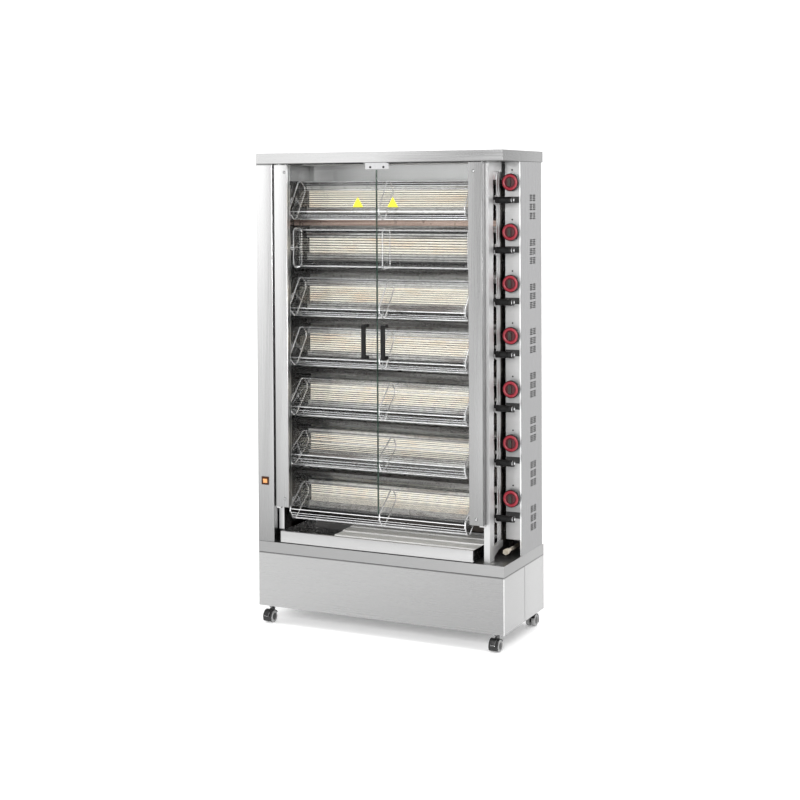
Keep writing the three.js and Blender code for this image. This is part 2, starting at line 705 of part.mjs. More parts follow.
// Rocker about its pivot, which runs along X; its two faces meet at a shallow angle.
function switchRocker() {
  const half = 8.5;
  const key = outline([[-5, -half], [7, -half + 3], [7, half - 3], [-5, half], [-3.4, 0]]);
  return alongX(key, -9.8, 9.8);
}

// ---------------------------------------------------------------- castors
const castors = [
  { name: "front_left", x: -CASTOR_X, y: FRONT + FRONT_CASTOR_INSET, turn: Math.PI },
  { name: "front_right", x: CASTOR_X, y: FRONT + FRONT_CASTOR_INSET, turn: Math.PI },
  { name: "back_left", x: -CASTOR_X, y: BACK - BACK_CASTOR_INSET, turn: 0 },
  { name: "back_right", x: CASTOR_X, y: BACK - BACK_CASTOR_INSET, turn: 0 },
];

// Swivelling fork about its own upright axis: the axle eye sits between the twin wheels.
function castorFork() {
  const top = STAND_Z - 3 - GAP;
  const web = outline([
    [-16, top - 6],
    [-14, top - 18],
    [CASTOR_TRAIL - 10, WHEEL_RADIUS - 8],
    [CASTOR_TRAIL, WHEEL_RADIUS - 10],
    [CASTOR_TRAIL + 10, WHEEL_RADIUS],
    [CASTOR_TRAIL + 8, WHEEL_RADIUS + 10],
    [22, top - 12],
    [16, top - 6],
  ]);
  const crown = block([-22, -18, top - 13], [22, CASTOR_TRAIL + 20, top - 9]);
  const fork = join(
    turned([[0, top - 10], [17, top - 10], [20, top - 6], [20, top], [0, top]], [0, 0, 0], [0, 1, 0], 12)
      .rotateX(Math.PI / 2),
    alongX(web, -4, 4),
    crown);
  return cut(fork, bar([-10, CASTOR_TRAIL, WHEEL_RADIUS], [10, CASTOR_TRAIL, WHEEL_RADIUS], 4.5));
}

// Twin wheels on one axle, about the axle, with a flat of the tread facing down.
function castorWheel() {
  const tread = WHEEL_RADIUS / Math.cos(Math.PI / WHEEL_SIDES);
  const profile = [
    [0, -20], [tread, -20], [tread, -5], [3.8, -5],
    [3.8, 5], [tread, 5], [tread, 20], [0, 20],
  ];
  return turned(profile, [0, 0, 0], [1, 0, 0], WHEEL_SIDES).rotateX(Math.PI / WHEEL_SIDES);
}

// ---------------------------------------------------------------- assembly
function addCasing() {
  addPart("stand_cabinet", standCabinet(), brushedSteel());
  addPart("base_pan", basePan(), brushedSteel());
  addPart("drive_column_cover", driveColumnCover(), brushedSteel());
  addPart("rear_panel", rearPanel(), brushedSteel());
  addPart("right_side_panel", rightSidePanel(), brushedSteel());
  addPart("control_panel", controlPanel(), polishedSteel());
  addPart("top_cap", topCap(), brushedSteel());
}

function addCavity() {
  addPart("cavity_liner", cavityLiner(), heatedSteel());
  addPart("smoke_hood", hood(), brushedSteel());
  addPart("spit_support_frame", supportFrame(), polishedSteel());
  addPart("drip_tray", dripTray(), brushedSteel());
  addPart("grease_cover", greaseCover(), brushedSteel());
  for (const tier of tiers) {
    addPart(`burner_${tier}`, burner(tier), heatedSteel());
  }
}

function addGasAndDrive() {
  addPart("gas_manifold", gasManifold(), brassMetal());
  addPart("drive_motor", driveMotor(), castMetal());
  addPart("drive_chain", driveChain(), castMetal());
}

function addDoors() {
  for (const [name, side] of [["left", -1], ["right", 1]]) {
    addPart(`${name}_door_stile`, doorStile(side), brushedSteel());
    addPart(`${name}_door_glass`, doorGlass(side), clearGlass());
    addPart(`${name}_door_handle`, doorHandle(side), blackPlastic());
  }
  addPart("door_catch", doorCatch(), polishedSteel());
}

function addSpits() {
  for (const tier of tiers) {
    const spit = new THREE.Group();
    spit.position.set(0, SPIT_Y, tierZ(tier));
    spit.rotation.x = THREE.MathUtils.degToRad(-BASKET_TILTS[tier - 1]);
    oven.add(spit);
    addPart(`spit_basket_${tier}`, spitBasket(), wireChrome(), spit);
    addPart(`spit_handle_${tier}`, spitHandle(), blackPlastic(), spit);
  }
}

function addControls() {
  for (const tier of tiers) {
    const knob = addPart(`burner_knob_${tier}`, burnerKnob(), redPlastic());
    knob.position.set(KNOB_X, PANEL_Y - 14, tierZ(tier) + KNOB_RISE);
  }
  addPart("switch_frame", switchFrame(), blackPlastic());
  const rocker = addPart("switch_rocker", switchRocker(), amberPlastic());
  rocker.position.set(SWITCH_X, FRONT + 2, SWITCH_Z);
  rocker.rotation.x = THREE.MathUtils.degToRad(ROCKER_REST);
}

function addCastors() {
  for (const { name, x, y, turn } of castors) {
    const castor = new THREE.Group();
    castor.position.set(x, y, 0);
    castor.rotation.z = turn;
    oven.add(castor);
    addPart(`castor_fork_${name}`, castorFork(), polishedSteel(), castor);
    const wheel = addPart(`castor_wheel_${name}`, castorWheel(), greyRubber(), castor);
    wheel.position.set(0, CASTOR_TRAIL, WHEEL_RADIUS);
  }
}

addCasing();
addCavity();
addGasAndDrive();
addDoors();
addSpits();
addControls();
addCastors();

export default oven;
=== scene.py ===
"""Looks for the gas rotisserie oven: materials on the CAD nodes, and finer pieces over them."""
import json
import math

import bmesh
import bpy
from mathutils import Matrix, Vector


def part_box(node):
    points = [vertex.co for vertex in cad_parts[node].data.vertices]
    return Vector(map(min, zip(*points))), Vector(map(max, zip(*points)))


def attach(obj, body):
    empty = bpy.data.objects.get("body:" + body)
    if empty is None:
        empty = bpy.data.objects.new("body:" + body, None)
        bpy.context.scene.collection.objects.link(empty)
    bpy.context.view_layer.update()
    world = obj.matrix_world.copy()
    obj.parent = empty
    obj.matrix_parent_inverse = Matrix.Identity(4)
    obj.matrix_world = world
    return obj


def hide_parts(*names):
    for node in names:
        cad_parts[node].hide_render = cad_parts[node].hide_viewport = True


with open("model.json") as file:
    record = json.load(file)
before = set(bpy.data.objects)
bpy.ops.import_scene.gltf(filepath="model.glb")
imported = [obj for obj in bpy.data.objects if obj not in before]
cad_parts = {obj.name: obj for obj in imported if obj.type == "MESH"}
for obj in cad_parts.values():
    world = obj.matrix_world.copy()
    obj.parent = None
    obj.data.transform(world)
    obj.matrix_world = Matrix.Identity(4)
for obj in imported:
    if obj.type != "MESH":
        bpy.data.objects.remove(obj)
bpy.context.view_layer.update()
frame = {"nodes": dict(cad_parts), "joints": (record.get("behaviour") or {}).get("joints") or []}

# ---------------------------------------------------------------- places read from the frame
TIERS = range(1, 8)
JOINTS = {joint["name"]: joint for joint in frame["joints"]}
SPIT_AT = {t: Vector(JOINTS[f"spit_{t}_turn"]["pos_m"]) for t in TIERS}
KNOB_AT = {t: Vector(JOINTS[f"knob_{t}_turn"]["pos_m"]) for t in TIERS}


def box(node):
    """The lowest and highest corners of a CAD node at rest."""
    low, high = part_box(node)
    return Vector(low), Vector(high)


# ---------------------------------------------------------------- camera, light and floor
LENS = 69.514  # mm, on a sensor 36 mm wide
LENS_SHIFT = -0.2079
CAMERA_ROUND = 25.628  # degrees round from the front to the camera's place
CAMERA_AWAY = 6.489  # metres over the floor
CAMERA_ASIDE = 0.005
CAMERA_HEIGHT = 1.8309
CAMERA_TURN = 25.582  # degrees, as are pitch and roll
CAMERA_PITCH = 88.401
CAMERA_ROLL = -0.301
FRONT_LEVEL = 0.64  # brightness of the world in front of the oven
BACK_LEVEL = 1.25
LEVEL_EDGE = (-0.55, 0.05)
PATCH_AT = (-0.75, -0.62, 0.22)
PATCH_EDGE = (0.80, 0.96)
PATCH_LEVEL = 0.75
FLOOR_SIZE = 60
FLOOR_GAP = 0.0005  # between the tyres and the floor
FLOOR_GLOW = 0.16


def add_camera():
    """A camera at eye level, whose lens is shifted down so that the uprights stay parallel."""
    data = bpy.data.cameras.new("camera")
    data.lens = LENS
    data.sensor_width = 36.0
    data.shift_y = LENS_SHIFT
    camera = bpy.data.objects.new("camera", data)
    azimuth = math.radians(CAMERA_ROUND)
    x = math.sin(azimuth) * CAMERA_AWAY
    y = -math.cos(azimuth) * CAMERA_AWAY + CAMERA_ASIDE
    turn = Matrix.Rotation(math.radians(CAMERA_TURN), 4, "Z")
    pitch = Matrix.Rotation(math.radians(CAMERA_PITCH), 4, "X")
    roll = Matrix.Rotation(math.radians(CAMERA_ROLL), 4, "Z")
    camera.matrix_world = Matrix.Translation((x, y, CAMERA_HEIGHT)) @ turn @ pitch @ roll
    bpy.context.scene.collection.objects.link(camera)
    bpy.context.scene.camera = camera


def add_light(name, at, aim, size, power):
    """A soft rectangular light at one point, turned to aim at another."""
    data = bpy.data.lights.new(name, "AREA")
    data.shape = "RECTANGLE"
    data.size, data.size_y = size
    data.energy = power
    light = bpy.data.objects.new(name, data)
    light.location = at
    light.rotation_euler = (Vector(aim) - Vector(at)).to_track_quat("-Z", "Y").to_euler()
    bpy.context.scene.collection.objects.link(light)


def add_world():
    """White all round, greyer in front of the oven, with one soft bright patch at the front left."""
    world = bpy.data.worlds.new("studio")
    world.use_nodes = True
    tree = world.node_tree
    tree.nodes.clear()

    def node(kind, **settings):
        made = tree.nodes.new(kind)
        for key, value in settings.items():
            if isinstance(value, (bool, str)):
                setattr(made, key, value)
            else:
                made.inputs[key.replace("_", " ")].default_value = value
        return made

    coords = node("ShaderNodeTexCoord")
    split = node("ShaderNodeSeparateXYZ")
    tree.links.new(coords.outputs["Generated"], split.inputs[0])
    level = node("ShaderNodeMapRange", interpolation_type="SMOOTHSTEP",
                 From_Min=LEVEL_EDGE[0], From_Max=LEVEL_EDGE[1],
                 To_Min=FRONT_LEVEL, To_Max=BACK_LEVEL)
    tree.links.new(split.outputs["Y"], level.inputs["Value"])
    facing = node("ShaderNodeVectorMath", operation="DOT_PRODUCT")
    facing.inputs[1].default_value = Vector(PATCH_AT).normalized()
    tree.links.new(coords.outputs["Generated"], facing.inputs[0])
    patch = node("ShaderNodeMapRange", interpolation_type="SMOOTHSTEP",
                 From_Min=PATCH_EDGE[0], From_Max=PATCH_EDGE[1], To_Min=0.0, To_Max=PATCH_LEVEL)
    tree.links.new(facing.outputs["Value"], patch.inputs["Value"])
    total = node("ShaderNodeMath", operation="ADD")
    tree.links.new(level.outputs["Result"], total.inputs[0])
    tree.links.new(patch.outputs["Result"], total.inputs[1])
    shade = node("ShaderNodeBackground")
    out = node("ShaderNodeOutputWorld")
    tree.links.new(total.outputs["Value"], shade.inputs["Strength"])
    tree.links.new(shade.outputs["Background"], out.inputs["Surface"])
    shade.inputs["Color"].default_value = (1, 1, 1, 1)
    bpy.context.scene.world = world
    bpy.context.scene.view_settings.view_transform = "Standard"


def add_floor():
    """Plain white paper under the tyres."""
    bpy.ops.mesh.primitive_plane_add(size=FLOOR_SIZE, location=(0, 0, -FLOOR_GAP))
    floor = bpy.context.object
    floor.name = "studio_floor"
    paper = Finish("studio_paper", (0.97, 0.97, 0.97), roughness=0.9)
    paper.tone(3, spread=0.006)
    paper.shader.inputs["Emission Color"].default_value = (1, 1, 1, 1)
    paper.shader.inputs["Emission Strength"].default_value = FLOOR_GLOW
    floor.data.materials.append(paper.material)


# ---------------------------------------------------------------- materials
class Finish:
    """One Principled material, with procedural tone, roughness and bump added by its methods."""

    def __init__(self, name, colour, roughness=0.5, metallic=0.0, **sockets):
        self.material = bpy.data.materials.new(name)
        self.material.use_nodes = True
        self.tree = self.material.node_tree
        self.shader = self.tree.nodes["Principled BSDF"]
        self.colour = (*colour[:3], 1.0)
        self.bump = None
        self.shader.inputs["Base Color"].default_value = self.colour
        self.shader.inputs["Roughness"].default_value = roughness
        self.shader.inputs["Metallic"].default_value = metallic
        for socket, value in sockets.items():
            self.shader.inputs[socket.replace("_", " ")].default_value = value
        self.coords = self.tree.nodes.new("ShaderNodeTexCoord").outputs["Object"]

    def link(self, source, target):
        self.tree.links.new(source, target)

    def noise(self, scale, detail=3.0):
        """Noise over object coordinates, scaled by one number or by one for each axis."""
        mapping = self.tree.nodes.new("ShaderNodeMapping")
        mapping.inputs["Scale"].default_value = scale if isinstance(scale, tuple) else (scale,) * 3
        noise = self.tree.nodes.new("ShaderNodeTexNoise")
        noise.inputs["Scale"].default_value = 1.0
        noise.inputs["Detail"].default_value = detail
        noise.inputs["Roughness"].default_value = 0.55
        self.link(self.coords, mapping.inputs["Vector"])
        self.link(mapping.outputs["Vector"], noise.inputs["Vector"])
        return noise.outputs["Fac"]

    def ramp(self, fac, stops):
        """Colours a 0 to 1 value by stops, which are (position, colour) pairs in rising order."""
        node = self.tree.nodes.new("ShaderNodeValToRGB")
        elements = node.color_ramp.elements
        while len(elements) < len(stops):
            elements.new(0.5)
        for element, (position, colour) in zip(elements, stops):
            element.position = position
            element.color = (*colour[:3], 1.0)
        self.link(fac, node.inputs["Fac"])
        return node.outputs["Color"]

    def tone(self, scale, spread=0.06, detail=4.0, darker=None, low=0.3, high=0.7):
        """Varies the colour by noise, around the base colour or towards a darker one."""
        first = darker or tuple(c * (1 - spread) for c in self.colour[:3])
        second = self.colour if darker else tuple(min(1, c * (1 + spread)) for c in self.colour[:3])
        colour = self.ramp(self.noise(scale, detail), [(low, first), (high, second)])
        self.link(colour, self.shader.inputs["Base Color"])
        return self

    def patchy(self, scale, low, high, detail=3.0):
        """Varies the roughness between low and high."""
        spread = self.tree.nodes.new("ShaderNodeMapRange")
        spread.inputs["From Min"].default_value = 0.3
        spread.inputs["From Max"].default_value = 0.7
        spread.inputs["To Min"].default_value = low
        spread.inputs["To Max"].default_value = high
        self.link(self.noise(scale, detail), spread.inputs["Value"])
        self.link(spread.outputs["Result"], self.shader.inputs["Roughness"])
        return self

    def fade(self, axis, stops):
        """Scales the colour along an axis, which paints light and shade into it; stops are (metres,
        factor) pairs in rising order.
        """
        split = self.tree.nodes.new("ShaderNodeSeparateXYZ")
        self.link(self.coords, split.inputs[0])
        first, last = stops[0][0], stops[-1][0]
        place = self.tree.nodes.new("ShaderNodeMapRange")
        place.inputs["From Min"].default_value = first
        place.inputs["From Max"].default_value = last
        self.link(split.outputs[axis], place.inputs["Value"])
        shades = [((at - first) / (last - first), (factor,) * 3) for at, factor in stops]
        shade = self.ramp(place.outputs["Result"], shades)
        socket = self.shader.inputs["Base Color"]
        mix = self.tree.nodes.new("ShaderNodeMix")
        mix.data_type = "RGBA"
        mix.blend_type = "MULTIPLY"
        mix.inputs["Factor"].default_value = 1.0
        if socket.links:
            self.link(socket.links[0].from_socket, mix.inputs["A"])
        else:
            mix.inputs["A"].default_value = self.colour
        self.link(shade, mix.inputs["B"])
        self.link(mix.outputs["Result"], socket)
        return self

    def bumpy(self, height, strength, distance=0.0005):
        """Adds one more layer of bump from a height socket."""
        node = self.tree.nodes.new("ShaderNodeBump")
        node.inputs["Strength"].default_value = strength
        node.inputs["Distance"].default_value = distance
        self.link(height, node.inputs["Height"])
        if self.bump:
            self.link(self.bump, node.inputs["Normal"])
        self.bump = node.outputs["Normal"]
        self.link(self.bump, self.shader.inputs["Normal"])
        return self


def grey(level):
    """A colour whose three channels are equal."""
    return (level, level, level)


def steel(name, grain, colour=(0.62, 0.62, 0.63), rough=(0.22, 0.34), wave=0.25, fades=()):
    """Stainless sheet whose grain runs along one axis, with slight waves from rolling, and fades of
    painted light and shade along the axes given.
    """
    along = {"x": (3, 700, 700), "y": (700, 3, 700), "z": (700, 700, 3)}[grain]
    finish = Finish(name, colour, roughness=sum(rough) / 2, metallic=1.0)
    finish.tone(along, spread=0.045)
    finish.patchy(along, *rough)
    finish.bumpy(finish.noise(along, 2.0), 0.05, 0.0002)
    finish.bumpy(finish.noise(2.3, 1.0), wave, 0.004)
    for axis, stops in fades:
        finish.fade(axis, stops)
    return finish.material


def sheet_steels():
    """Brushed sheet of each casing, with painted light and shade fading across it, painted shadow
    lines under the cap and the pan, and white copies as painted highlights on folds.
    """
    m = {}
    # Painted shade: darker towards the floor, and a painted shadow line just under the top cap.
    m["steel_z"] = steel("brushed_steel_upright", "z", grey(0.80), fades=[
        ("Z", [(0.35, 0.30), (1.20, 0.70), (1.90, 0.97), (1.9425, 0.97), (1.9435, 0.35)])])
    # A darker copy of the same steel for the right stile, painted shade, also darker towards the
    # floor; its side face past x 0.4715 is halved, painted shade.
    m["stile_right"] = steel("brushed_steel_right_stile", "z", grey(0.60), fades=[
        ("Z", [(0.35, 0.35), (1.20, 0.62), (1.95, 0.64)]),
        ("X", [(0.40, 1.0), (0.4705, 1.0), (0.4715, 0.5), (0.473, 0.5)])])
    m["tray"] = steel("brushed_steel_tray", "x", grey(0.44), (0.3, 0.4))
    # The jamb is nearly black below 0.4 m.
    m["jamb"] = steel("brushed_steel_jamb", "z", grey(0.62), (0.35, 0.45), fades=[
        ("Z", [(0.34, 0.02), (0.398, 0.02), (0.402, 1.0), (1.95, 1.0)])])
    cover = Finish("grease_cover_steel", (0.70, 0.70, 0.69), roughness=0.4, metallic=0.35)
    cover.tone((4, 300, 60), spread=0.12).patchy((5, 200, 60), 0.3, 0.45)
    m["cover"] = cover.material
    m["pan"] = steel("brushed_steel_pan", "x", grey(0.30), (0.3, 0.4))
    m["panel"] = steel("brushed_steel_panel", "x", grey(0.50), (0.42, 0.5))
    # Painted shade: darker towards the right, lighter again on the side face, and a dark band at the
    # top that paints the shadow under the pan's edge.
    m["stand"] = steel("brushed_steel_stand", "x", grey(0.68), fades=[
        ("X", [(-0.55, 0.56), (0.0, 0.50), (0.556, 0.41), (0.5595, 0.60)]),
        ("Z", [(0.07, 1.0), (0.2965, 1.0), (0.298, 0.45), (0.305, 0.45)])])
    # Painted shade: darker towards the right, and a dark band at the bottom edge that paints the
    # shadow line under the cap.
    m["lid"] = steel("brushed_steel_lid", "x", grey(0.72), fades=[
        ("X", [(-0.50, 0.80), (0.0, 0.92), (0.556, 0.43), (0.5595, 0.38)]),
        ("Z", [(1.945, 0.3), (1.9468, 0.3), (1.9478, 1.0), (1.990, 1.0)])])
    # Painted shade: darker towards the floor.
    m["side"] = steel("brushed_steel_side", "z", (0.42, 0.42, 0.425), fades=[
        ("Z", [(0.35, 0.58), (1.20, 0.80), (1.95, 0.80)])])
    m["polished"] = steel("polished_steel", "z", (0.70, 0.70, 0.71), (0.08, 0.16), 0.15)
    # White copies of the steel: painted highlights on folded seams and edges.
    m["seam"] = steel("seam_painted_highlight", "z", grey(1.0), (0.4, 0.5))
    m["fold"] = steel("folded_edge_painted_highlight", "z", grey(0.95), (0.35, 0.45))
    # Darker at the hood's left end.
    m["hood"] = steel("hood_steel", "x", grey(0.66), (0.42, 0.5), fades=[
        ("X", [(-0.50, 0.45), (-0.455, 0.45), (-0.450, 1.0), (0.5, 1.0)])])
    m["post"] = steel("post_steel", "z", grey(0.50), (0.42, 0.52))
    return m


def cavity_metals():
    """Heat-tinted liner with painted shade at its left end, bright chromed wire and a dark copy of it
    as painted shade, turned bars, and the inside of the tray in painted shade.
    """
    m = {}
    heated = Finish("heat_tinted_steel_painted_shade", (0.10, 0.088, 0.08), roughness=0.35, metallic=1.0)
    heated.tone((1.5, 6, 14), darker=(0.025, 0.02, 0.018), low=0.34, high=0.62, detail=2.0)
    heated.patchy(40, 0.22, 0.42)
    # Painted shade: darker towards the cavity's left end.
    heated.fade("X", [(-0.475, 0.12), (-0.455, 0.2), (-0.44, 1.0), (0.5, 1.0)])
    heated.bumpy(heated.noise(3, 1.0), 0.2, 0.003)
    m["heated"] = heated.material
    chrome = Finish("wire_chrome", (0.90, 0.90, 0.91), roughness=0.2, metallic=0.8)
    chrome.tone((60, 300, 300), spread=0.06).patchy(90, 0.10, 0.22)
    m["chrome"] = chrome.material
    # A dark copy of the chrome for the thin wires: painted shade, so that they read dark over the
    # plaques.
    wire = Finish("wire_chrome_painted_shade", grey(0.14), roughness=0.2, metallic=1.0)
    wire.tone((60, 300, 300), spread=0.1).patchy(90, 0.14, 0.28)
    m["wire"] = wire.material
    tip = Finish("turned_steel", (0.74, 0.74, 0.75), roughness=0.2, metallic=1.0)
    tip.tone((900, 40, 40), spread=0.05).patchy((900, 40, 40), 0.15, 0.3)
    m["turned"] = tip.material
    # A dark copy of the tray's steel for its inside faces: painted shade.
    inside = Finish("tray_inside_painted_shade", grey(0.10), roughness=0.25, metallic=1.0)
    inside.tone(12, darker=(0.03, 0.028, 0.025)).patchy(40, 0.15, 0.35)
    m["tray_inside"] = inside.material
    return m


def burner_finishes():
    """Housing, grease shields with their heat colours, dark grey lips with a painted sheen, and
    ceramic plaques with a painted glow.
    """
    m = {"ceramic": ceramic()}
    housing = Finish("burner_housing", (0.80, 0.79, 0.77), roughness=0.4, metallic=0.3)
    housing.tone((2.5, 12, 40), darker=(0.30, 0.26, 0.24), low=0.36, high=0.50, detail=3.0)
    housing.patchy(50, 0.2, 0.4)
    m["housing"] = housing.material
    copper = Finish("heat_coloured_lip", (0.44, 0.33, 0.28), roughness=0.35, metallic=0.6)
    copper.tone((1.2, 20, 90), darker=(0.17, 0.11, 0.09), low=0.40, high=0.60, detail=2.0)
    copper.patchy(30, 0.25, 0.4)
    m["copper"] = copper.material
    # A dark grey lip, darker at the left end and lighter to the right: a painted sheen.
    dim_lip = Finish("lip_with_painted_sheen", (0.17, 0.165, 0.16), roughness=0.35, metallic=0.7)
    dim_lip.tone((1.6, 20, 60), darker=(0.035, 0.032, 0.03), low=0.40, high=0.60, detail=3.0)
    dim_lip.patchy(30, 0.22, 0.4).fade("X", [(-0.46, 0.45), (0.0, 0.7), (0.42, 1.0)])
    m["dim_lip"] = dim_lip.material
    return m


def plastics():
    """Moulded grips, knobs and switch, and the castors' black parts and tyres."""
    m = {}
    black = Finish("black_plastic", grey(0.005), roughness=0.5, Specular_IOR_Level=0.2)
    black.tone(50, spread=0.2).patchy(300, 0.34, 0.5)
    black.bumpy(black.noise(1500, 2.0), 0.15, 0.0002)
    m["black"] = black.material
    brown = Finish("brown_plastic", (0.045, 0.014, 0.004), roughness=0.5, Specular_IOR_Level=0.2)
    brown.tone(60, spread=0.2).patchy(200, 0.4, 0.55)
    m["brown"] = brown.material
    red = Finish("crimson_plastic", (0.25, 0.013, 0.025), roughness=0.3)
    red.tone(70, spread=0.1).patchy(200, 0.28, 0.42)
    red.bumpy(red.noise(1200, 2.0), 0.08, 0.0002)
    m["red"] = red.material
    deep = Finish("dark_red_plastic", (0.05, 0.003, 0.006), roughness=0.45)
    deep.tone(70, spread=0.12).patchy(200, 0.3, 0.5)
    m["deep_red"] = deep.material
    grip = Finish("grip_plastic", (0.040, 0.030, 0.024), roughness=0.5)
    grip.tone(90, spread=0.12).patchy(200, 0.35, 0.55)
    m["grip"] = grip.material
    amber = Finish("lit_amber", (0.62, 0.27, 0.09), roughness=0.25)
    amber.tone(80, spread=0.08)
    amber.shader.inputs["Emission Color"].default_value = (1.0, 0.46, 0.16, 1)
    amber.shader.inputs["Emission Strength"].default_value = 0.16
    m["amber"] = amber.material
    rubber = Finish("grey_rubber", grey(0.30), roughness=0.5)
    rubber.tone(90, spread=0.1).patchy(100, 0.5, 0.7)
    m["rubber"] = rubber.material
    castor_black = Finish("castor_black", grey(0.007), roughness=0.3)
    castor_black.tone(60, spread=0.2).patchy(200, 0.28, 0.45)
    m["castor_black"] = castor_black.material
    return m


def fittings():
    """Door glass and its rim, brass, oiled iron, yellow film, and a near-black for dark parts and for
    painted shade in gaps and recesses.
    """
    m = {"glass": door_glass()}
    edge = Finish("glass_edge", (0.03, 0.06, 0.045), roughness=0.2)
    edge.tone((60, 60, 20), spread=0.3)
    m["glass_edge"] = edge.material
    brass = Finish("pipe_brass", (0.56, 0.52, 0.44), roughness=0.3, metallic=1.0)
    brass.tone(30, darker=(0.30, 0.26, 0.20)).patchy(60, 0.25, 0.5)
    m["brass"] = brass.material
    iron = Finish("oiled_iron", (0.10, 0.10, 0.105), roughness=0.4, metallic=0.8)
    iron.tone(60, spread=0.2).patchy(100, 0.3, 0.5)
    iron.bumpy(iron.noise(400, 3.0), 0.3, 0.0004)
    m["iron"] = iron.material
    yellow = Finish("yellow_film", (0.90, 0.82, 0.03), roughness=0.4)
    yellow.tone(90, spread=0.05)
    m["yellow"] = yellow.material
    # Near-black for dark small parts, and for painted shade in gaps, recesses and holes.
    gap = Finish("near_black_and_painted_shade", grey(0.012), roughness=0.7)
    gap.tone(90, spread=0.3)
    m["dark"] = gap.material
    return m


HOLES_PER_METRE = 380


def ceramic():
    """Matt perforated plaques: a fine grid of dark holes on ivory, with warmer patches, and a painted
    glow.
    """
    finish = Finish("perforated_ceramic", (0.83, 0.77, 0.66), roughness=0.85)
    tree = finish.tree
    holes = tree.nodes.new("ShaderNodeTexVoronoi")
    mapping = tree.nodes.new("ShaderNodeMapping")
    mapping.inputs["Scale"].default_value = (HOLES_PER_METRE,) * 3
    finish.link(finish.coords, mapping.inputs["Vector"])
    finish.link(mapping.outputs["Vector"], holes.inputs["Vector"])
    holes.inputs["Scale"].default_value = 1.0
    holes.inputs["Randomness"].default_value = 0.25
    pit = finish.ramp(holes.outputs["Distance"], [(0.22, (0, 0, 0)), (0.34, (1, 1, 1))])
    stain = finish.noise((7, 7, 20), 3.0)
    base = finish.ramp(stain, [
        (0.30, (0.92, 0.72, 0.54)), (0.46, (0.95, 0.89, 0.77)), (0.62, (0.97, 0.94, 0.84))])
    mix = tree.nodes.new("ShaderNodeMix")
    mix.data_type = "RGBA"
    finish.link(pit, mix.inputs["Factor"])
    mix.inputs["A"].default_value = (0.74, 0.66, 0.54, 1)
    finish.link(base, mix.inputs["B"])
    finish.link(mix.outputs["Result"], finish.shader.inputs["Base Color"])
    # Painted glow: the plaques give off a little light though the burners are off.
    finish.shader.inputs["Emission Color"].default_value = (1.0, 0.92, 0.79, 1)
    finish.shader.inputs["Emission Strength"].default_value = 0.38
    finish.bumpy(pit, 0.5, 0.001)
    return finish.material


def door_glass():
    """Thin clear sheet: mostly see-through, with a faint green body and a glossy surface."""
    finish = Finish("clear_glass", (0.90, 0.96, 0.93), roughness=0.01)
    finish.tone(4, spread=0.02)
    finish.shader.inputs["Transmission Weight"].default_value = 1.0
    finish.shader.inputs["IOR"].default_value = 1.45
    finish.shader.inputs["Alpha"].default_value = 0.14
    finish.patchy(6, 0.0, 0.015)
    return finish.material


MIDDLE = (0, 0, 1.0)
add_camera()
add_world()
MATERIALS = {**sheet_steels(), **cavity_metals(), **burner_finishes(), **plastics(), **fittings()}
add_floor()
add_light("key", at=(1.9, -5.2, 2.6), aim=MIDDLE, size=(1.6, 1.6), power=230)
add_light("top", at=(0.0, -1.2, 5.4), aim=MIDDLE, size=(3.0, 2.0), power=60)


# ---------------------------------------------------------------- mesh building
BLOCK_FACES = [(0, 3, 2, 1), (4, 5, 6, 7), (0, 1, 5, 4), (1, 2, 6, 5), (2, 3, 7, 6), (3, 0, 4, 7)]


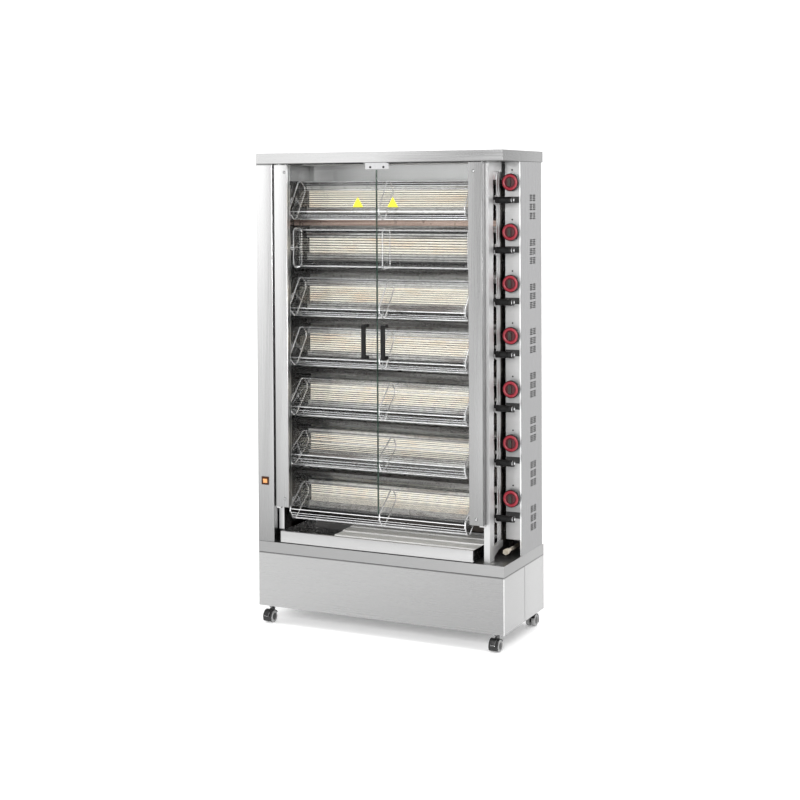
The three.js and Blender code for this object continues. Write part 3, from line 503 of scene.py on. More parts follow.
class Shape:
    """Gathers closed bodies into one mesh, in a local place, and hands it over as a piece."""

    def __init__(self, place=None):
        self.mesh = bmesh.new()
        self.place = place or Matrix.Identity(4)
        self.names = []

    def tag(self, material):
        """The material's slot number in this shape."""
        if material not in self.names:
            self.names.append(material)
        return self.names.index(material)

    def faces(self, points, faces, material):
        """Adds faces, given as tuples of places in points."""
        index = self.tag(material)
        verts = [self.mesh.verts.new(self.place @ Vector(p)) for p in points]
        for corners in faces:
            face = self.mesh.faces.new([verts[i] for i in corners])
            face.material_index = index

    def block(self, low, high, material):
        """A box between two opposite corners."""
        (a, b, c), (d, e, f) = low, high
        points = [(x, y, z) for z in (c, f) for x, y in ((a, b), (d, b), (d, e), (a, e))]
        self.faces(points, BLOCK_FACES, material)

    def lathe(self, profile, at, axis, material, sides=32):
        """Turns [radius, distance] pairs about the line through at towards axis."""
        turn = Vector((0, 0, 1)).rotation_difference(Vector(axis)).to_matrix()
        points, faces, rows = [], [], []
        for radius, distance in profile:
            if radius < 1e-6:
                rows.append([len(points)])
                points.append(Vector(at) + turn @ Vector((0, 0, distance)))
                continue
            rows.append([len(points) + k for k in range(sides)])
            for k in range(sides):
                angle = 2 * math.pi * k / sides
                local = Vector((radius * math.cos(angle), radius * math.sin(angle), distance))
                points.append(Vector(at) + turn @ local)
        for low, high in zip(rows, rows[1:]):
            for k in range(sides):
                after = (k + 1) % sides
                if len(low) == 1:
                    faces.append((low[0], high[after], high[k]))
                elif len(high) == 1:
                    faces.append((low[k], low[after], high[0]))
                else:
                    faces.append((low[k], low[after], high[after], high[k]))
        if len(rows[0]) > 1:
            faces.append(tuple(reversed(rows[0])))
        if len(rows[-1]) > 1:
            faces.append(tuple(rows[-1]))
        self.faces(points, faces, material)

    def rod(self, start, end, radius, material, sides=8):
        """A straight round bar with flat ends."""
        along = Vector(end) - Vector(start)
        self.lathe([(radius, 0), (radius, along.length)], start, along.normalized(), material, sides)

    def wire(self, points, radius, material, sides=8):
        """A closed loop of round bar that follows points, with mitred corners."""
        points = [Vector(p) for p in points]
        count = len(points)
        rings, faces, out = [], [], []
        side = None
        for i, here in enumerate(points):
            into = (here - points[i - 1]).normalized()
            away = (points[(i + 1) % count] - here).normalized()
            along = (into + away).normalized()
            if side is None:
                guess = Vector((1, 0, 0)) if abs(along.x) < 0.9 else Vector((0, 0, 1))
                side = (guess - along * guess.dot(along)).normalized()
            else:
                side = (side - along * side.dot(along)).normalized()
            up = along.cross(side)
            stretch = 1 / max(0.35, along.dot(into))
            bend = away - into
            bend = bend.normalized() if bend.length > 1e-6 else up
            ring = []
            for k in range(sides):
                angle = 2 * math.pi * k / sides
                offset = side * math.cos(angle) * radius + up * math.sin(angle) * radius
                offset += bend * offset.dot(bend) * (stretch - 1)
                ring.append(len(out))
                out.append(here + offset)
            rings.append(ring)
        for low, high in zip(rings, [*rings[1:], rings[0]]):
            for k in range(sides):
                after = (k + 1) % sides
                faces.append((low[k], low[after], high[after], high[k]))
        self.faces(out, faces, material)

    def prism(self, outline, origin, u, v, depth, material):
        """An outline in the plane of u and v, carried along u cross v by depth."""
        u, v = Vector(u), Vector(v)
        w = u.cross(v)
        count = len(outline)
        near = [Vector(origin) + u * a + v * b for a, b in outline]
        points = near + [p + w * depth for p in near]
        faces = [tuple(reversed(range(count))), tuple(range(count, 2 * count))]
        faces += [(i, (i + 1) % count, count + (i + 1) % count, count + i) for i in range(count)]
        self.faces(points, faces, material)

    def piece(self, name, body, slot, stands_for=(), bevel=0.0, segments=2, smooth=35):
        """Rounds the sharp edges by bevel metres and makes the object, which rides on body."""
        bmesh.ops.recalc_face_normals(self.mesh, faces=self.mesh.faces)
        if bevel:
            sharp = [e for e in self.mesh.edges
                     if e.is_manifold and e.calc_face_angle(0) > math.radians(40)]
            bmesh.ops.bevel(self.mesh, geom=sharp, offset=bevel, segments=segments,
                            profile=0.7, affect="EDGES", clamp_overlap=True)
        data = bpy.data.meshes.new(name)
        self.mesh.to_mesh(data)
        self.mesh.free()
        hand_over(name, data, self.names, body, stands_for, smooth)


def hand_over(name, data, names, body, stands_for, smooth):
    """Makes an object of a mesh and says what it rides on, stands for and takes its finish from."""
    for material in names:
        data.materials.append(MATERIALS[material])
    data.polygons.foreach_set("use_smooth", [True] * len(data.polygons))
    data.set_sharp_from_angle(angle=math.radians(smooth))
    piece = bpy.data.objects.new(name, data)
    bpy.context.scene.collection.objects.link(piece)
    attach(piece, body)
    if stands_for:
        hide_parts(*stands_for)


def rounded(node, name, material, body, radius, pick=None, second=None):
    """A copy of a folded sheet node, with its outer edges rounded, that stands for the node.

    pick chooses among the edges by their middles; second is a (material, choice of faces) pair."""
    low, high = box(node)
    mesh = bmesh.new()
    mesh.from_mesh(frame["nodes"][node].data)
    bmesh.ops.remove_doubles(mesh, verts=mesh.verts, dist=2e-5)
    bmesh.ops.dissolve_limit(mesh, angle_limit=math.radians(0.6), verts=mesh.verts, edges=mesh.edges)

    def at_extremes(point):
        """How many of the box's three directions the point is at an end of."""
        return sum(min(abs(point[k] - low[k]), abs(point[k] - high[k])) < 1e-4 for k in range(3))

    edges = []
    for edge in mesh.edges:
        if not edge.is_manifold or edge.calc_face_angle(0) < math.radians(60):
            continue
        middle = (edge.verts[0].co + edge.verts[1].co) / 2
        if edge.calc_length() > 0.03 and at_extremes(middle) >= 2 and (pick is None or pick(middle)):
            edges.append(edge)
    bmesh.ops.bevel(mesh, geom=edges, offset=radius, segments=3, profile=0.5,
                    affect="EDGES", clamp_overlap=False)
    names = [material]
    if second:
        names.append(second[0])
        for face in mesh.faces:
            if second[1](face.calc_center_median(), face.normal):
                face.material_index = 1
    data = bpy.data.meshes.new(name)
    mesh.to_mesh(data)
    mesh.free()
    hand_over(name, data, names, body, [node], 25)


def paint(node, name, parts=()):
    """Gives a CAD node that stays its finish, and other finishes to the faces picked by parts."""
    mesh = frame["nodes"][node].data
    mesh.materials.clear()
    for material in (name, *[other for other, _ in parts]):
        mesh.materials.append(MATERIALS[material])
    for face in mesh.polygons:
        face.material_index = 0
        for index, (_, pick) in enumerate(parts):
            if pick(face.center, face.normal):
                face.material_index = index + 1


# ---------------------------------------------------------------- spits
TILTS = [35, 0, 37, 38, 46, 58, 52]  # degrees from upright at rest, top leaning back
HALF_DEPTH = 0.0355  # of a basket, across the wires
HALF_HEIGHT = 0.0835
CORNER = 0.015
FRAMES_AT = (-0.4315, -0.0100, 0.3735)
FRAME_BAR = 0.0032  # radii of the bars and wires
CROSS_BAR = 0.003
CORNER_WIRE = 0.0021
WIRE = 0.0012
GRID_WIRE = 0.0011
WIRE_PITCH = 0.0108
GRID_PITCH = 0.0075
SHAFT = 0.005
SHAFT_ENDS = (-0.526, 0.5575)
COLLAR_AT = -0.474
SPROCKET_AT = -0.523
TEETH = 14


def basket(t):
    """Three corner-cut frames, long wires round them, wire grids in the ends, shaft and drive."""
    tilt = Matrix.Rotation(math.radians(-TILTS[t - 1]), 4, "X")
    shape = Shape(Matrix.Translation(SPIT_AT[t]) @ tilt)
    basket_frames(shape)
    for y, z in long_wires():
        # Thin wires take the dark copy of chrome as painted shade; wires at the edges and corners take
        # the bright chrome.
        low_wire = abs(z) > HALF_HEIGHT and TILTS[t - 1] > 0
        corner = HALF_HEIGHT - 0.012 < abs(z) < HALF_HEIGHT
        shape.rod((FRAMES_AT[0] - 0.002, y, z), (FRAMES_AT[2] + 0.002, y, z),
                  CORNER_WIRE if corner else WIRE, "chrome" if corner or low_wire else "wire", 6)
    basket_shaft(shape)
    shape.piece(f"basket_{t}", f"spit_{t}", "chrome_wire", [f"spit_basket_{t}"])


def basket_frames(shape):
    """The three frames, and a grid of thin wires in each end frame."""
    y_cut, z_cut = HALF_DEPTH - CORNER, HALF_HEIGHT - CORNER
    front = [(y_cut, -HALF_HEIGHT), (HALF_DEPTH, -z_cut), (HALF_DEPTH, z_cut), (y_cut, HALF_HEIGHT)]
    corners = front + [(-y, -z) for y, z in front]
    for x in FRAMES_AT:
        shape.wire([(x, y, z) for y, z in corners], FRAME_BAR, "chrome", 10)
    # The end grids are of the dark copy of chrome: painted shade.
    for x in (FRAMES_AT[0], FRAMES_AT[2]):
        for k in range(-4, 5):
            y = k * GRID_PITCH
            reach = HALF_HEIGHT - max(0.0, abs(y) - y_cut) - 0.001
            shape.rod((x, y, -reach), (x, y, reach), GRID_WIRE, "wire", 6)
        for z in (-0.060, -0.030, 0.0, 0.030, 0.060):
            shape.rod((x - WIRE, -HALF_DEPTH, z), (x - WIRE, HALF_DEPTH, z), WIRE, "wire", 6)


def long_wires():
    """Where the wires along the basket cross a frame: both sides, both edges and the corners."""
    count = int((HALF_HEIGHT - CORNER) / WIRE_PITCH)
    places = []
    for k in range(-count, count + 1):
        places += [(side * (HALF_DEPTH + 0.001), k * WIRE_PITCH) for side in (-1, 1)]
    for y in (-0.0140, 0.0, 0.0140):
        places += [(y, side * (HALF_HEIGHT + 0.0008)) for side in (-1, 1)]
    for side_y in (-1, 1):
        for side_z in (-1, 1):
            places.append((side_y * (HALF_DEPTH - 0.007), side_z * (HALF_HEIGHT - 0.007)))
    return places


def basket_shaft(shape):
    """Cross bars and bosses that hold the shaft's two ends, the bearing collar and the sprocket."""
    left, _, right = FRAMES_AT
    boss = [(0.0, 0), (0.009, 0), (0.012, 0.002), (0.012, 0.006), (0.0, 0.006)]
    for x, outward in ((left, -1), (right, 1)):
        shape.rod((x, -HALF_DEPTH, 0), (x, HALF_DEPTH, 0), CROSS_BAR, "chrome", 8)
        shape.lathe(boss, (x + outward * 0.003, 0, 0), (outward, 0, 0), "turned", 24)
    shape.rod((SHAFT_ENDS[0], 0, 0), (left, 0, 0), SHAFT, "turned", 20)
    shape.rod((right, 0, 0), (SHAFT_ENDS[1], 0, 0), SHAFT, "turned", 20)
    collar = [(0.0, 0), (0.0125, 0), (0.014, 0.0015), (0.014, 0.0165), (0.0125, 0.018), (0.0, 0.018)]
    shape.lathe(collar, (COLLAR_AT, 0, 0), (1, 0, 0), "turned", 28)
    sprocket(shape, Vector((SPROCKET_AT, 0, 0)))


def sprocket(shape, at):
    """A flat toothed wheel across X."""
    root, tip = 0.0185, 0.0225
    outline = []
    for tooth in range(TEETH):
        for part, radius in ((0.0, root), (0.3, tip), (0.6, tip), (0.9, root)):
            angle = 2 * math.pi * (tooth + part) / TEETH
            outline.append((radius * math.cos(angle), radius * math.sin(angle)))
    shape.prism(outline, at, (0, 1, 0), (0, 0, 1), 0.006, "turned")


GRIP_FROM = 0.4635
GRIP_BORE = 0.0052
GRIP_NECK = 0.0066
GRIP_RADIUS = 0.0135
GROOVES_AT = (0.028, 0.034, 0.064, 0.070)
FERRULE_AT = 0.549
CAP_AT = 0.552


def spit_grip(t):
    """Black heat-proof grip: collar, neck, grooved barrel, bright ferrule and end cap."""
    shape = Shape(Matrix.Translation(SPIT_AT[t]))
    collar = [(GRIP_BORE, 0), (0.0125, 0), (GRIP_RADIUS, 0.0012),
              (GRIP_RADIUS, 0.0098), (0.0127, 0.0106)]
    neck = [(GRIP_NECK, 0.0106), (GRIP_NECK, 0.0166)]
    barrel = [(0.0127, 0.0166), (GRIP_RADIUS, 0.0174)]
    for groove in GROOVES_AT:
        barrel += [(GRIP_RADIUS, groove), (0.0122, groove + 0.0008),
                   (0.0122, groove + 0.0022), (GRIP_RADIUS, groove + 0.003)]
    barrel += [(GRIP_RADIUS, 0.0840), (0.0128, 0.0855), (GRIP_BORE, 0.0855)]
    ferrule = [(GRIP_BORE, 0), (0.0118, 0), (0.0118, 0.003), (GRIP_BORE, 0.003)]
    cap = [(GRIP_BORE, 0), (0.0128, 0), (0.0134, 0.0012), (0.0122, 0.004), (GRIP_BORE, 0.004)]
    shape.lathe(collar + neck + barrel, (GRIP_FROM, 0, 0), (1, 0, 0), "black", 32)
    shape.lathe(ferrule, (FERRULE_AT, 0, 0), (1, 0, 0), "turned", 32)
    shape.lathe(cap, (CAP_AT, 0, 0), (1, 0, 0), "black", 32)
    shape.piece(f"spit_grip_{t}", f"spit_{t}", "black_plastic", [f"spit_handle_{t}"])


# ---------------------------------------------------------------- burners
PLAQUES = 8
PLAQUES_FROM = -0.4495
PLAQUE_WIDTH = 0.107
PLAQUE_JOINT = 0.0012
PLAQUE_LOW = -0.0310  # heights from here on are measured from the spit's axis
PLAQUE_HIGH = 0.0410
BURNER_ENDS = (-0.462, 0.412)
SHIELD_ABOVE = 0.070
TRIM_STRIPS = [  # bottom and top from the axis, then front and back from the housing's face
    (-0.0570, -0.0314, -0.0030, -0.0002, "housing"),
    (0.0414, 0.0600, -0.0030, -0.0002, "housing"),
    # The near-black strips paint the shadow in the gaps above and below the housing.
    (-0.0720, -0.0590, -0.0032, 0.0100, "dark"),
    (0.0605, 0.0690, -0.0032, -0.0002, "dark"),
]
END_SCREWS_AT = (-0.4590, -0.4530)


def burner_face(t):
    """Eight ceramic plaques in the burner's window, and the trim round them."""
    z = SPIT_AT[t].z
    face = box("burner_1")[0].y
    shape = Shape()
    for k in range(PLAQUES):
        x = PLAQUES_FROM + k * PLAQUE_WIDTH
        shape.block((x + PLAQUE_JOINT / 2, face - 0.0034, z + PLAQUE_LOW),
                    (x + PLAQUE_WIDTH - PLAQUE_JOINT / 2, face - 0.0004, z + PLAQUE_HIGH), "ceramic")
    shape.piece(f"ceramic_{t}", "body", "ceramic", bevel=0.0006, segments=1)
    burner_trim(t, face)


def burner_trim(t, face):
    """Bright strips above and below the window, near-black strips past them that paint the shadow in
    the gaps, and the screwed left end.
    """
    z = SPIT_AT[t].z
    left, right = BURNER_ENDS
    trim = Shape()
    for bottom, top, front, back, finish in TRIM_STRIPS:
        trim.block((left, face + front, z + bottom), (right, face + back, z + top), finish)
    trim.block((left, face - 0.0028, z + PLAQUE_LOW),
               (PLAQUES_FROM - PLAQUE_JOINT / 2, face - 0.0004, z + PLAQUE_HIGH), "turned")
    head = [(0.0, 0), (0.0023, 0), (0.0023, 0.0008), (0.0, 0.0008)]
    for x in END_SCREWS_AT:
        for k in range(5):
            trim.lathe(head, (x, face - 0.0027, z - 0.019 + k * 0.012), (0, -1, 0), "dark", 10)
    trim.piece(f"burner_trim_{t}", "body", "heated_steel")


def paint_burner(t):
    """Housing, near-black ends and faces below the shield as painted shade, and a grease shield above
    with a dark grey lip, or heat coloured on tier 2.
    """
    shield = SPIT_AT[t].z + SHIELD_ABOVE
    lip, top = ("copper", "copper") if t == 2 else ("dim_lip", "heated")
    paint(f"burner_{t}", "housing", [
        (lip, lambda at, normal: at.z > shield and normal.y < -0.9 and at.y < 0),
        (top, lambda at, normal: at.z > shield and normal.z > 0.9),
        ("heated", lambda at, normal: at.z > shield and normal.z < -0.5),
        # Ends and the horizontal faces below the shield go near-black: painted shade.
        ("dark", lambda at, normal: abs(normal.x) > 0.9 or at.z < shield and abs(normal.z) > 0.9)])


# ---------------------------------------------------------------- controls
def knob(t):
    """Black skirt, crimson ring, deep red dish and a ribbed grip bar."""
    shape = Shape(Matrix.Translation(KNOB_AT[t]))
    middle, toward = (0, 0, 0), (0, -1, 0)
    skirt = [(0.0, -0.026), (0.004, -0.026), (0.004, 0.0), (0.0345, 0.0), (0.036, 0.0015),
             (0.0355, 0.0115), (0.0345, 0.0122), (0.0, 0.0122)]
    ring = [(0.0, 0.0112), (0.0325, 0.0112), (0.0330, 0.0126), (0.0322, 0.0142), (0.0300, 0.0156),
            (0.0272, 0.0161), (0.0244, 0.0156), (0.0222, 0.0142), (0.0212, 0.0128), (0.0, 0.0128)]
    dish = [(0.0, 0.0127), (0.0210, 0.0127), (0.0204, 0.0134), (0.0, 0.0134)]
    shape.lathe(skirt, middle, toward, "black", 48)
    shape.lathe(ring, middle, toward, "red", 48)
    shape.lathe(dish, middle, toward, "deep_red", 40)
    rib, rib_pitch = 0.0019, 0.0042
    for k in (-1, 0, 1):
        x = k * rib_pitch
        shape.block((x - rib, -0.0240, -0.0158), (x + rib, -0.0138, 0.0158), "grip")
    shape.block((-0.0062, -0.0215, -0.0150), (0.0062, -0.0138, 0.0150), "grip")
    shape.piece(f"knob_{t}", f"knob_{t}", "red_plastic", [f"burner_knob_{t}"], bevel=0.0005)


# ---------------------------------------------------------------- doors
def handle(word):
    """Bow handle of flat bar with rounded corners, whose feet turn in to the glass."""
    low, high = box(f"{word}_door_handle")
    bar, bend = 0.014, 0.008
    quarter = [math.pi / 2 * (k / 5) for k in range(6)]
    outer = [(high.y, low.z)]
    for z, sign, angles in ((low.z, 1, quarter), (high.z, -1, quarter[::-1])):
        for angle in angles:
            rise = bend - bend * math.cos(angle)
            outer.append((low.y + bend - bend * math.sin(angle), z + sign * rise))
    outer.append((high.y, high.z))
    inner = [(high.y, low.z + bar), (low.y + bar, low.z + bar),
             (low.y + bar, high.z - bar), (high.y, high.z - bar)]
    shape = Shape()
    shape.prism(outer + inner[::-1], (low.x, 0, 0), (0, 1, 0), (0, 0, 1), high.x - low.x, "black")
    shape.piece(f"{word}_handle", f"{word}_door", "black_plastic", [f"{word}_door_handle"],
                bevel=0.0022, segments=3, smooth=50)


CROSS_FACES = [(3, 2, 1, 0), *BLOCK_FACES[1:]]


def screw(shape, at, axis, radius):
    """Domed head with a dark cross on it."""
    head = [(0.0, 0), (radius, 0), (radius * 0.9, 0.0009), (radius * 0.5, 0.0016), (0.0, 0.0018)]
    shape.lathe(head, at, axis, "turned", 20)
    axis = Vector(axis)
    up = Vector((0, 0, 1)) if abs(axis.z) < 0.5 else Vector((0, 1, 0))
    across = up.cross(axis)
    top = Vector(at) + axis * 0.0017
    # The dark cross is painted shade in the head's recess.
    square = ((-1, -1), (1, -1), (1, 1), (-1, 1))
    for long, short in ((up, across), (across, up)):
        corners = [long * a * radius * 0.62 + short * b * radius * 0.14 for a, b in square]
        low = [top + c for c in corners]
        shape.faces(low + [p + axis * 0.0003 for p in low], CROSS_FACES, "dark")


STILE_SCREWS = {
    "left": [(-0.423, 1.910), (-0.430, 0.536)],
    "right": [(0.435, 1.9065), (0.442, 0.523)],
}


def stile(word, finish):
    """The door's upright, with a screw in a dark washer near each end."""
    rounded(f"{word}_door_stile", f"{word}_stile", finish, f"{word}_door", 0.0014)
    front = box(f"{word}_door_stile")[0].y
    washer = [(0.0, 0), (0.0064, 0), (0.0058, 0.0005), (0.0, 0.0005)]
    shape = Shape()
    for x, z in STILE_SCREWS[word]:
        shape.lathe(washer, (x, front + 0.0002, z), (0, -1, 0), "dark", 24)
        screw(shape, (x, front - 0.0003, z), (0, -1, 0), 0.0042)
    shape.piece(f"{word}_stile_screws", f"{word}_door", "polished_steel")


def glass_rim(word, side):
    """The dark ground edge of the glass, where the doors meet; side is -1 for the left door."""
    low, high = box(f"{word}_door_glass")
    meet = high.x if side < 0 else low.x
    inner = meet + side * 0.0008
    shape = Shape()
    shape.block((min(meet, inner), low.y - 0.0002, low.z),
                (max(meet, inner), high.y + 0.0002, high.z), "glass_edge")
    shape.piece(f"{word}_glass_rim", f"{word}_door", "clear_glass")


FILM_ASIDE = 0.0795  # from a line 5 mm left of where the doors meet
FILM_FOOT = 1.764
FILM_HALF = 0.0235
FILM_TALL = 0.0415


def yellow_film(word, side):
    """A plain yellow triangle on the front of the glass."""
    front = box(f"{word}_door_glass")[0].y - 0.0001
    triangle = [(-FILM_HALF, 0), (FILM_HALF, 0), (0, FILM_TALL)]
    at = (side * FILM_ASIDE - 0.005, front, FILM_FOOT)
    shape = Shape()
    shape.prism(triangle, at, (1, 0, 0), (0, 0, 1), 0.0003, "yellow")
    shape.piece(f"{word}_film", f"{word}_door", "yellow_film")


def door_details():
    """Everything that moves with each door, in front of its CAD glass."""
    # The right stile takes the darker copy of the steel: painted shade.
    for word, side, finish in (("left", -1, "steel_z"), ("right", 1, "stile_right")):
        stile(word, finish)
        handle(word)
        glass_rim(word, side)
        yellow_film(word, side)


# ---------------------------------------------------------------- casing
SHEET = 0.0015
LOUVRES_TOP = 1.811
LOUVRE_GROUPS = 8
GROUP_PITCH = 0.183
ROW_PITCH = 0.037
COLUMNS_AT = (0.0760, 0.1110)
SLIT_PITCH = 0.0072
SLIT_WIDTH = 0.0290
SLIT_HEIGHT = 0.0042


def louvres():
    """Slits of the right side sheet, as (y0, y1, z0, z1): groups of three rows and two columns."""
    slits = []
    for group in range(LOUVRE_GROUPS):
        for row in range(3):
            for y in COLUMNS_AT:
                for slit in range(4):
                    z = LOUVRES_TOP - group * GROUP_PITCH - row * ROW_PITCH - slit * SLIT_PITCH
                    slits.append((y, y + SLIT_WIDTH, z - SLIT_HEIGHT, z))
    return slits


def pierced_side():
    """Right side sheet with its front return, louvres and corner screws."""
    low, high = box("right_side_panel")
    shape = Shape()
    pierced(shape, high.x - SHEET, high.x, low.y, high.y, low.z, high.z, louvres(), "side")
    # The front return is white steel: a painted highlight.
    shape.block((low.x, low.y, low.z), (high.x - SHEET, low.y + SHEET, high.z), "fold")
    for y in (low.y + 0.012, high.y - 0.012):
        for z in (low.z + 0.010, high.z - 0.014):
            screw(shape, (high.x - 0.0021, y, z), (1, 0, 0), 0.0035)
    shape.piece("side_sheet", "body", "brushed_steel", ["right_side_panel"])


def pierced(shape, x0, x1, y0, y1, z0, z1, holes, material):
    """A sheet between x0 and x1 with rectangular holes (y0, y1, z0, z1), walls included."""
    ys = sorted({y0, y1, *[h[0] for h in holes], *[h[1] for h in holes]})
    zs = sorted({z0, z1, *[h[2] for h in holes], *[h[3] for h in holes]})
    open_cells = set()
    for h in holes:
        for i in range(ys.index(h[0]), ys.index(h[1])):
            for j in range(zs.index(h[2]), zs.index(h[3])):
                open_cells.add((i, j))
    index = shape.tag(material)
    verts = {}

    def vert(i, j, x):
        key = (i, j, x)
        if key not in verts:
            verts[key] = shape.mesh.verts.new(shape.place @ Vector((x, ys[i], zs[j])))
        return verts[key]

    def solid(i, j):
        return 0 <= i < len(ys) - 1 and 0 <= j < len(zs) - 1 and (i, j) not in open_cells

    def face(*corners):
        shape.mesh.faces.new(corners).material_index = index

    for i in range(len(ys) - 1):
        for j in range(len(zs) - 1):
            if not solid(i, j):
                continue
            around = ((i, j), (i + 1, j), (i + 1, j + 1), (i, j + 1))
            face(*[vert(*corner, x1) for corner in around])
            face(*[vert(*corner, x0) for corner in around[::-1]])
            beside = ((i, j - 1), (i + 1, j), (i, j + 1), (i - 1, j))
            for k, cell in enumerate(beside):
                if not solid(*cell):
                    here, after = around[k], around[(k + 1) % 4]
                    face(vert(*here, x1), vert(*here, x0), vert(*after, x0), vert(*after, x1))


def tray_inside(at, normal):
    """Picks the faces of the tray that look inwards or up from its floor, which take the painted
    shade.
    """
    walls = at.y > -0.2075 and abs(normal.y) < 0.9 and at.z < 0.397
    floor = normal.z > 0.9 and at.z < 0.36
    return walls or floor


def casing():
    """The folded sheets of the outside and the tray, with rounded edges."""
    pan_foot = box("base_pan")[0].z + 0.001
    rounded("stand_cabinet", "stand", "stand", "body", 0.002)
    rounded("base_pan", "pan", "pan", "body", 0.0015, pick=lambda at: at.z > pan_foot)
    rounded("drive_column_cover", "column", "steel_z", "body", 0.002)
    rounded("top_cap", "lid", "lid", "body", 0.002)
    rounded("drip_tray", "tray_body", "tray", "tray", 0.001, second=("tray_inside", tray_inside))
    pierced_side()


# ---------------------------------------------------------------- castors
CASTORS = ("front_left", "front_right", "back_left", "back_right")
BEARING_TALL = 0.0096
HOOD_WIDE = 0.042
HOOD_OUTER = 0.0285
HOOD_INNER = 0.0268
TYRE_RADIUS = 0.025
TYRE_INNER_FACE = 0.0048
CAP_FACE = 0.0190


def castor_frame(place):
    """Swivel bearing, hood and web of a castor, with a brake lever on the front ones."""
    top = box(f"castor_fork_{place}")[1].z
    pivot = Vector(JOINTS[f"swivel_{place}"]["pos_m"])
    axle = Vector(JOINTS[f"roll_{place}"]["pos_m"])
    turn = Matrix.Rotation(0 if axle.y > pivot.y else math.pi, 4, "Z")
    trail = abs(axle.y - pivot.y)
    shape = Shape(Matrix.Translation((pivot.x, pivot.y, 0)) @ turn)
    bearing = [(0.0, 0), (0.013, 0), (0.017, 0.002), (0.020, 0.006), (0.020, 0.0085),
               (0.0185, BEARING_TALL), (0.0, BEARING_TALL)]
    shape.lathe(bearing, (0, 0, top - BEARING_TALL), (0, 0, 1), "turned", 32)

    def arc(radius):
        """Points round the axle: from low on the trailing side, over the wheels, to the stem."""
        angles = [math.radians(-35 + 190 * k / 12) for k in range(13)]
        return [(trail + radius * math.cos(a), axle.z + radius * math.sin(a)) for a in angles]

    def plate(outline, width):
        shape.prism(outline, (-width / 2, 0, 0), (0, 1, 0), (0, 0, 1), width, "castor_black")

    under = top - BEARING_TALL - 0.0002
    plate([(y, min(z, under)) for y, z in arc(HOOD_OUTER)] + arc(HOOD_INNER)[::-1], HOOD_WIDE)
    web = [(-0.014, top - 0.010), (-0.013, top - 0.020), (trail - 0.010, 0.017), (trail, 0.015),
           (trail + 0.010, 0.025), (trail + 0.008, 0.035), (0.020, top - 0.016), (0.016, top - 0.010)]
    plate(web, 0.008)
    if place.startswith("front"):
        lever = [(trail + 0.022, 0.040), (trail + 0.036, 0.030), (trail + 0.0375, 0.033),
                 (trail + 0.026, 0.0465), (trail + 0.010, 0.0535), (trail + 0.008, 0.051)]
        plate(lever, 0.018)
    shape.piece(f"castor_frame_{place}", f"fork_{place}", "castor_chrome", [f"castor_fork_{place}"],
                bevel=0.0004, segments=1)


def castor_wheels(place):
    """Two tyres with hub caps on one axle."""
    wheels = Shape(Matrix.Translation(Vector(JOINTS[f"roll_{place}"]["pos_m"])))
    tyre = [(0.0, 0), (0.0235, 0), (0.0248, 0.0015), (TYRE_RADIUS, 0.003), (TYRE_RADIUS, 0.012),
            (0.0246, 0.0137), (0.0232, 0.0148), (0.0195, 0.0150), (0.0, 0.0150)]
    cap = [(0.0, 0), (0.0155, 0), (0.0145, 0.0010), (0.006, 0.0016), (0.0, 0.0016)]
    for side in (-1, 1):
        wheels.lathe(tyre, (side * TYRE_INNER_FACE, 0, 0), (side, 0, 0), "rubber", 40)
        wheels.lathe(cap, (side * CAP_FACE, 0, 0), (side, 0, 0), "castor_black", 32)
    wheels.rod((-0.006, 0, 0), (0.006, 0, 0), 0.0036, "turned", 16)
    wheels.piece(f"castor_tyres_{place}", f"wheel_{place}", "castor_rubber",
                 [f"castor_wheel_{place}"])


# ---------------------------------------------------------------- small fixed details
def catch_pins():
    """Two dark studs on the face of the door catch."""
    low, _ = box("door_catch")
    stud = [(0.0, 0), (0.0045, 0), (0.0045, 0.002), (0.003, 0.0026), (0.0, 0.0026)]
    shape = Shape()
    for x in (-0.030, 0.030):
        shape.lathe(stud, (x, low.y + 0.017, low.z + 0.008), (0, -1, 0), "dark", 20)
    shape.piece("catch_pins", "body", "polished_steel")


def panel_dark_plates():
    """A thin near-black plate on the front of the control panel behind each spit's grip."""
    low, high = box("control_panel")
    tall = 0.0130  # above and below the spit's axis
    shape = Shape()
    for t in TIERS:
        z = SPIT_AT[t].z
        shape.block((low.x + 0.0006, low.y - 0.0004, z - tall),
                    (high.x - 0.0006, low.y - 0.0001, z + tall), "dark")
    shape.piece("panel_dark_plates", "body", "polished_steel")


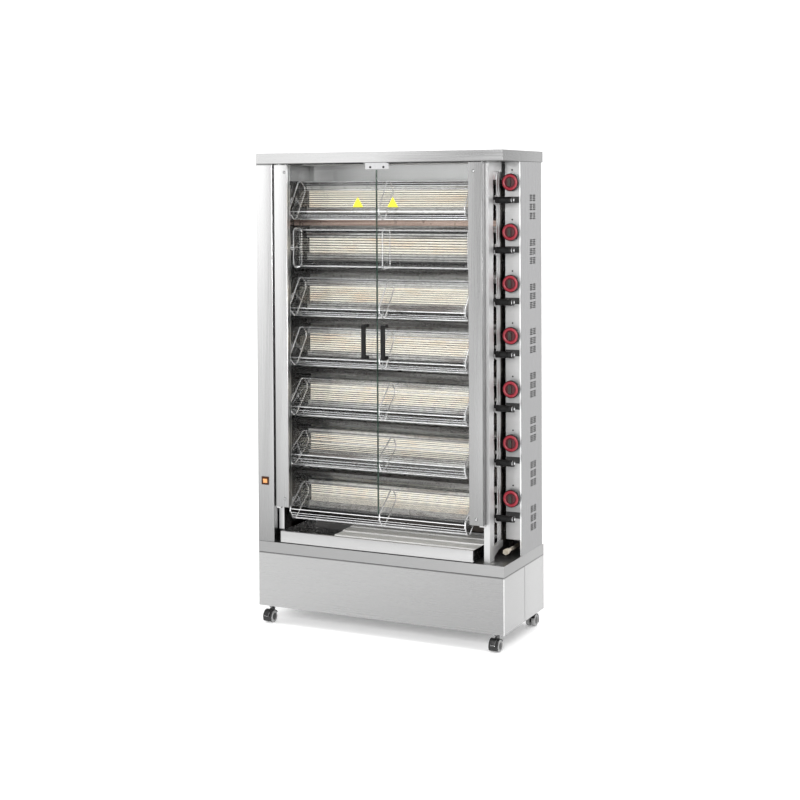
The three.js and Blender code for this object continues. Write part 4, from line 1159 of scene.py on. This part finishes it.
def stand_seams():
    """Painted highlights: white strips down the stand's right front corner and the middle of its side,
    where folded seams catch the light.
    """
    low, high = box("stand_cabinet")
    shape = Shape()
    shape.block((high.x - 0.0016, low.y - 0.0001, low.z + 0.001),
                (high.x - 0.0002, low.y + 0.0012, high.z - 0.006), "seam")
    shape.block((high.x - 0.0012, 0.0050, low.z + 0.001), (high.x, 0.0078, high.z - 0.001), "seam")
    shape.piece("stand_seams", "body", "brushed_steel")


BUSH_AT = -0.4763
PILOT_ABOVE = 0.050


def drive_bushes():
    """Brass bushes where the spits enter the left wall, and the pilot holes above the knobs."""
    panel = box("control_panel")[0].y
    bush = [(0.0095, 0), (0.021, 0), (0.021, 0.002), (0.015, 0.0035), (0.0095, 0.0035), (0.0095, 0)]
    hole = [(0.0, 0), (0.0035, 0), (0.0035, 0.0006), (0.0, 0.0006)]
    shape = Shape()
    for t in TIERS:
        at, knob_at = SPIT_AT[t], KNOB_AT[t]
        shape.lathe(bush, (BUSH_AT, at.y, at.z), (1, 0, 0), "brass", 32)
        # Each pilot hole is a near-black disc: painted shade inside the hole.
        shape.lathe(hole, (knob_at.x, panel - 0.0001, knob_at.z + PILOT_ABOVE), (0, -1, 0), "dark", 20)
    shape.piece("drive_bushes", "body", "gas_brass")


NODE_PAINT = {
    "control_panel": "panel", "smoke_hood": "hood", "spit_support_frame": "post",
    "grease_cover": "cover", "gas_manifold": "brass", "drive_motor": "iron", "drive_chain": "iron",
    "left_door_glass": "glass", "right_door_glass": "glass", "door_catch": "polished",
    "switch_frame": "brown", "switch_rocker": "amber",
}
for node, name in NODE_PAINT.items():
    paint(node, name)
# The rear panel's side faces take white steel: a painted highlight.
paint("rear_panel", "steel_z", [("seam", lambda at, normal: abs(normal.x) > 0.9)])
paint("cavity_liner", "heated", [
    ("jamb", lambda at, normal: normal.y < -0.9 and at.y < -0.18 and at.x < -0.45)])
for t in TIERS:
    paint_burner(t)
    basket(t)
    spit_grip(t)
    burner_face(t)
    knob(t)
door_details()
casing()
for place in CASTORS:
    castor_frame(place)
    castor_wheels(place)
catch_pins()
panel_dark_plates()
stand_seams()
drive_bushes()
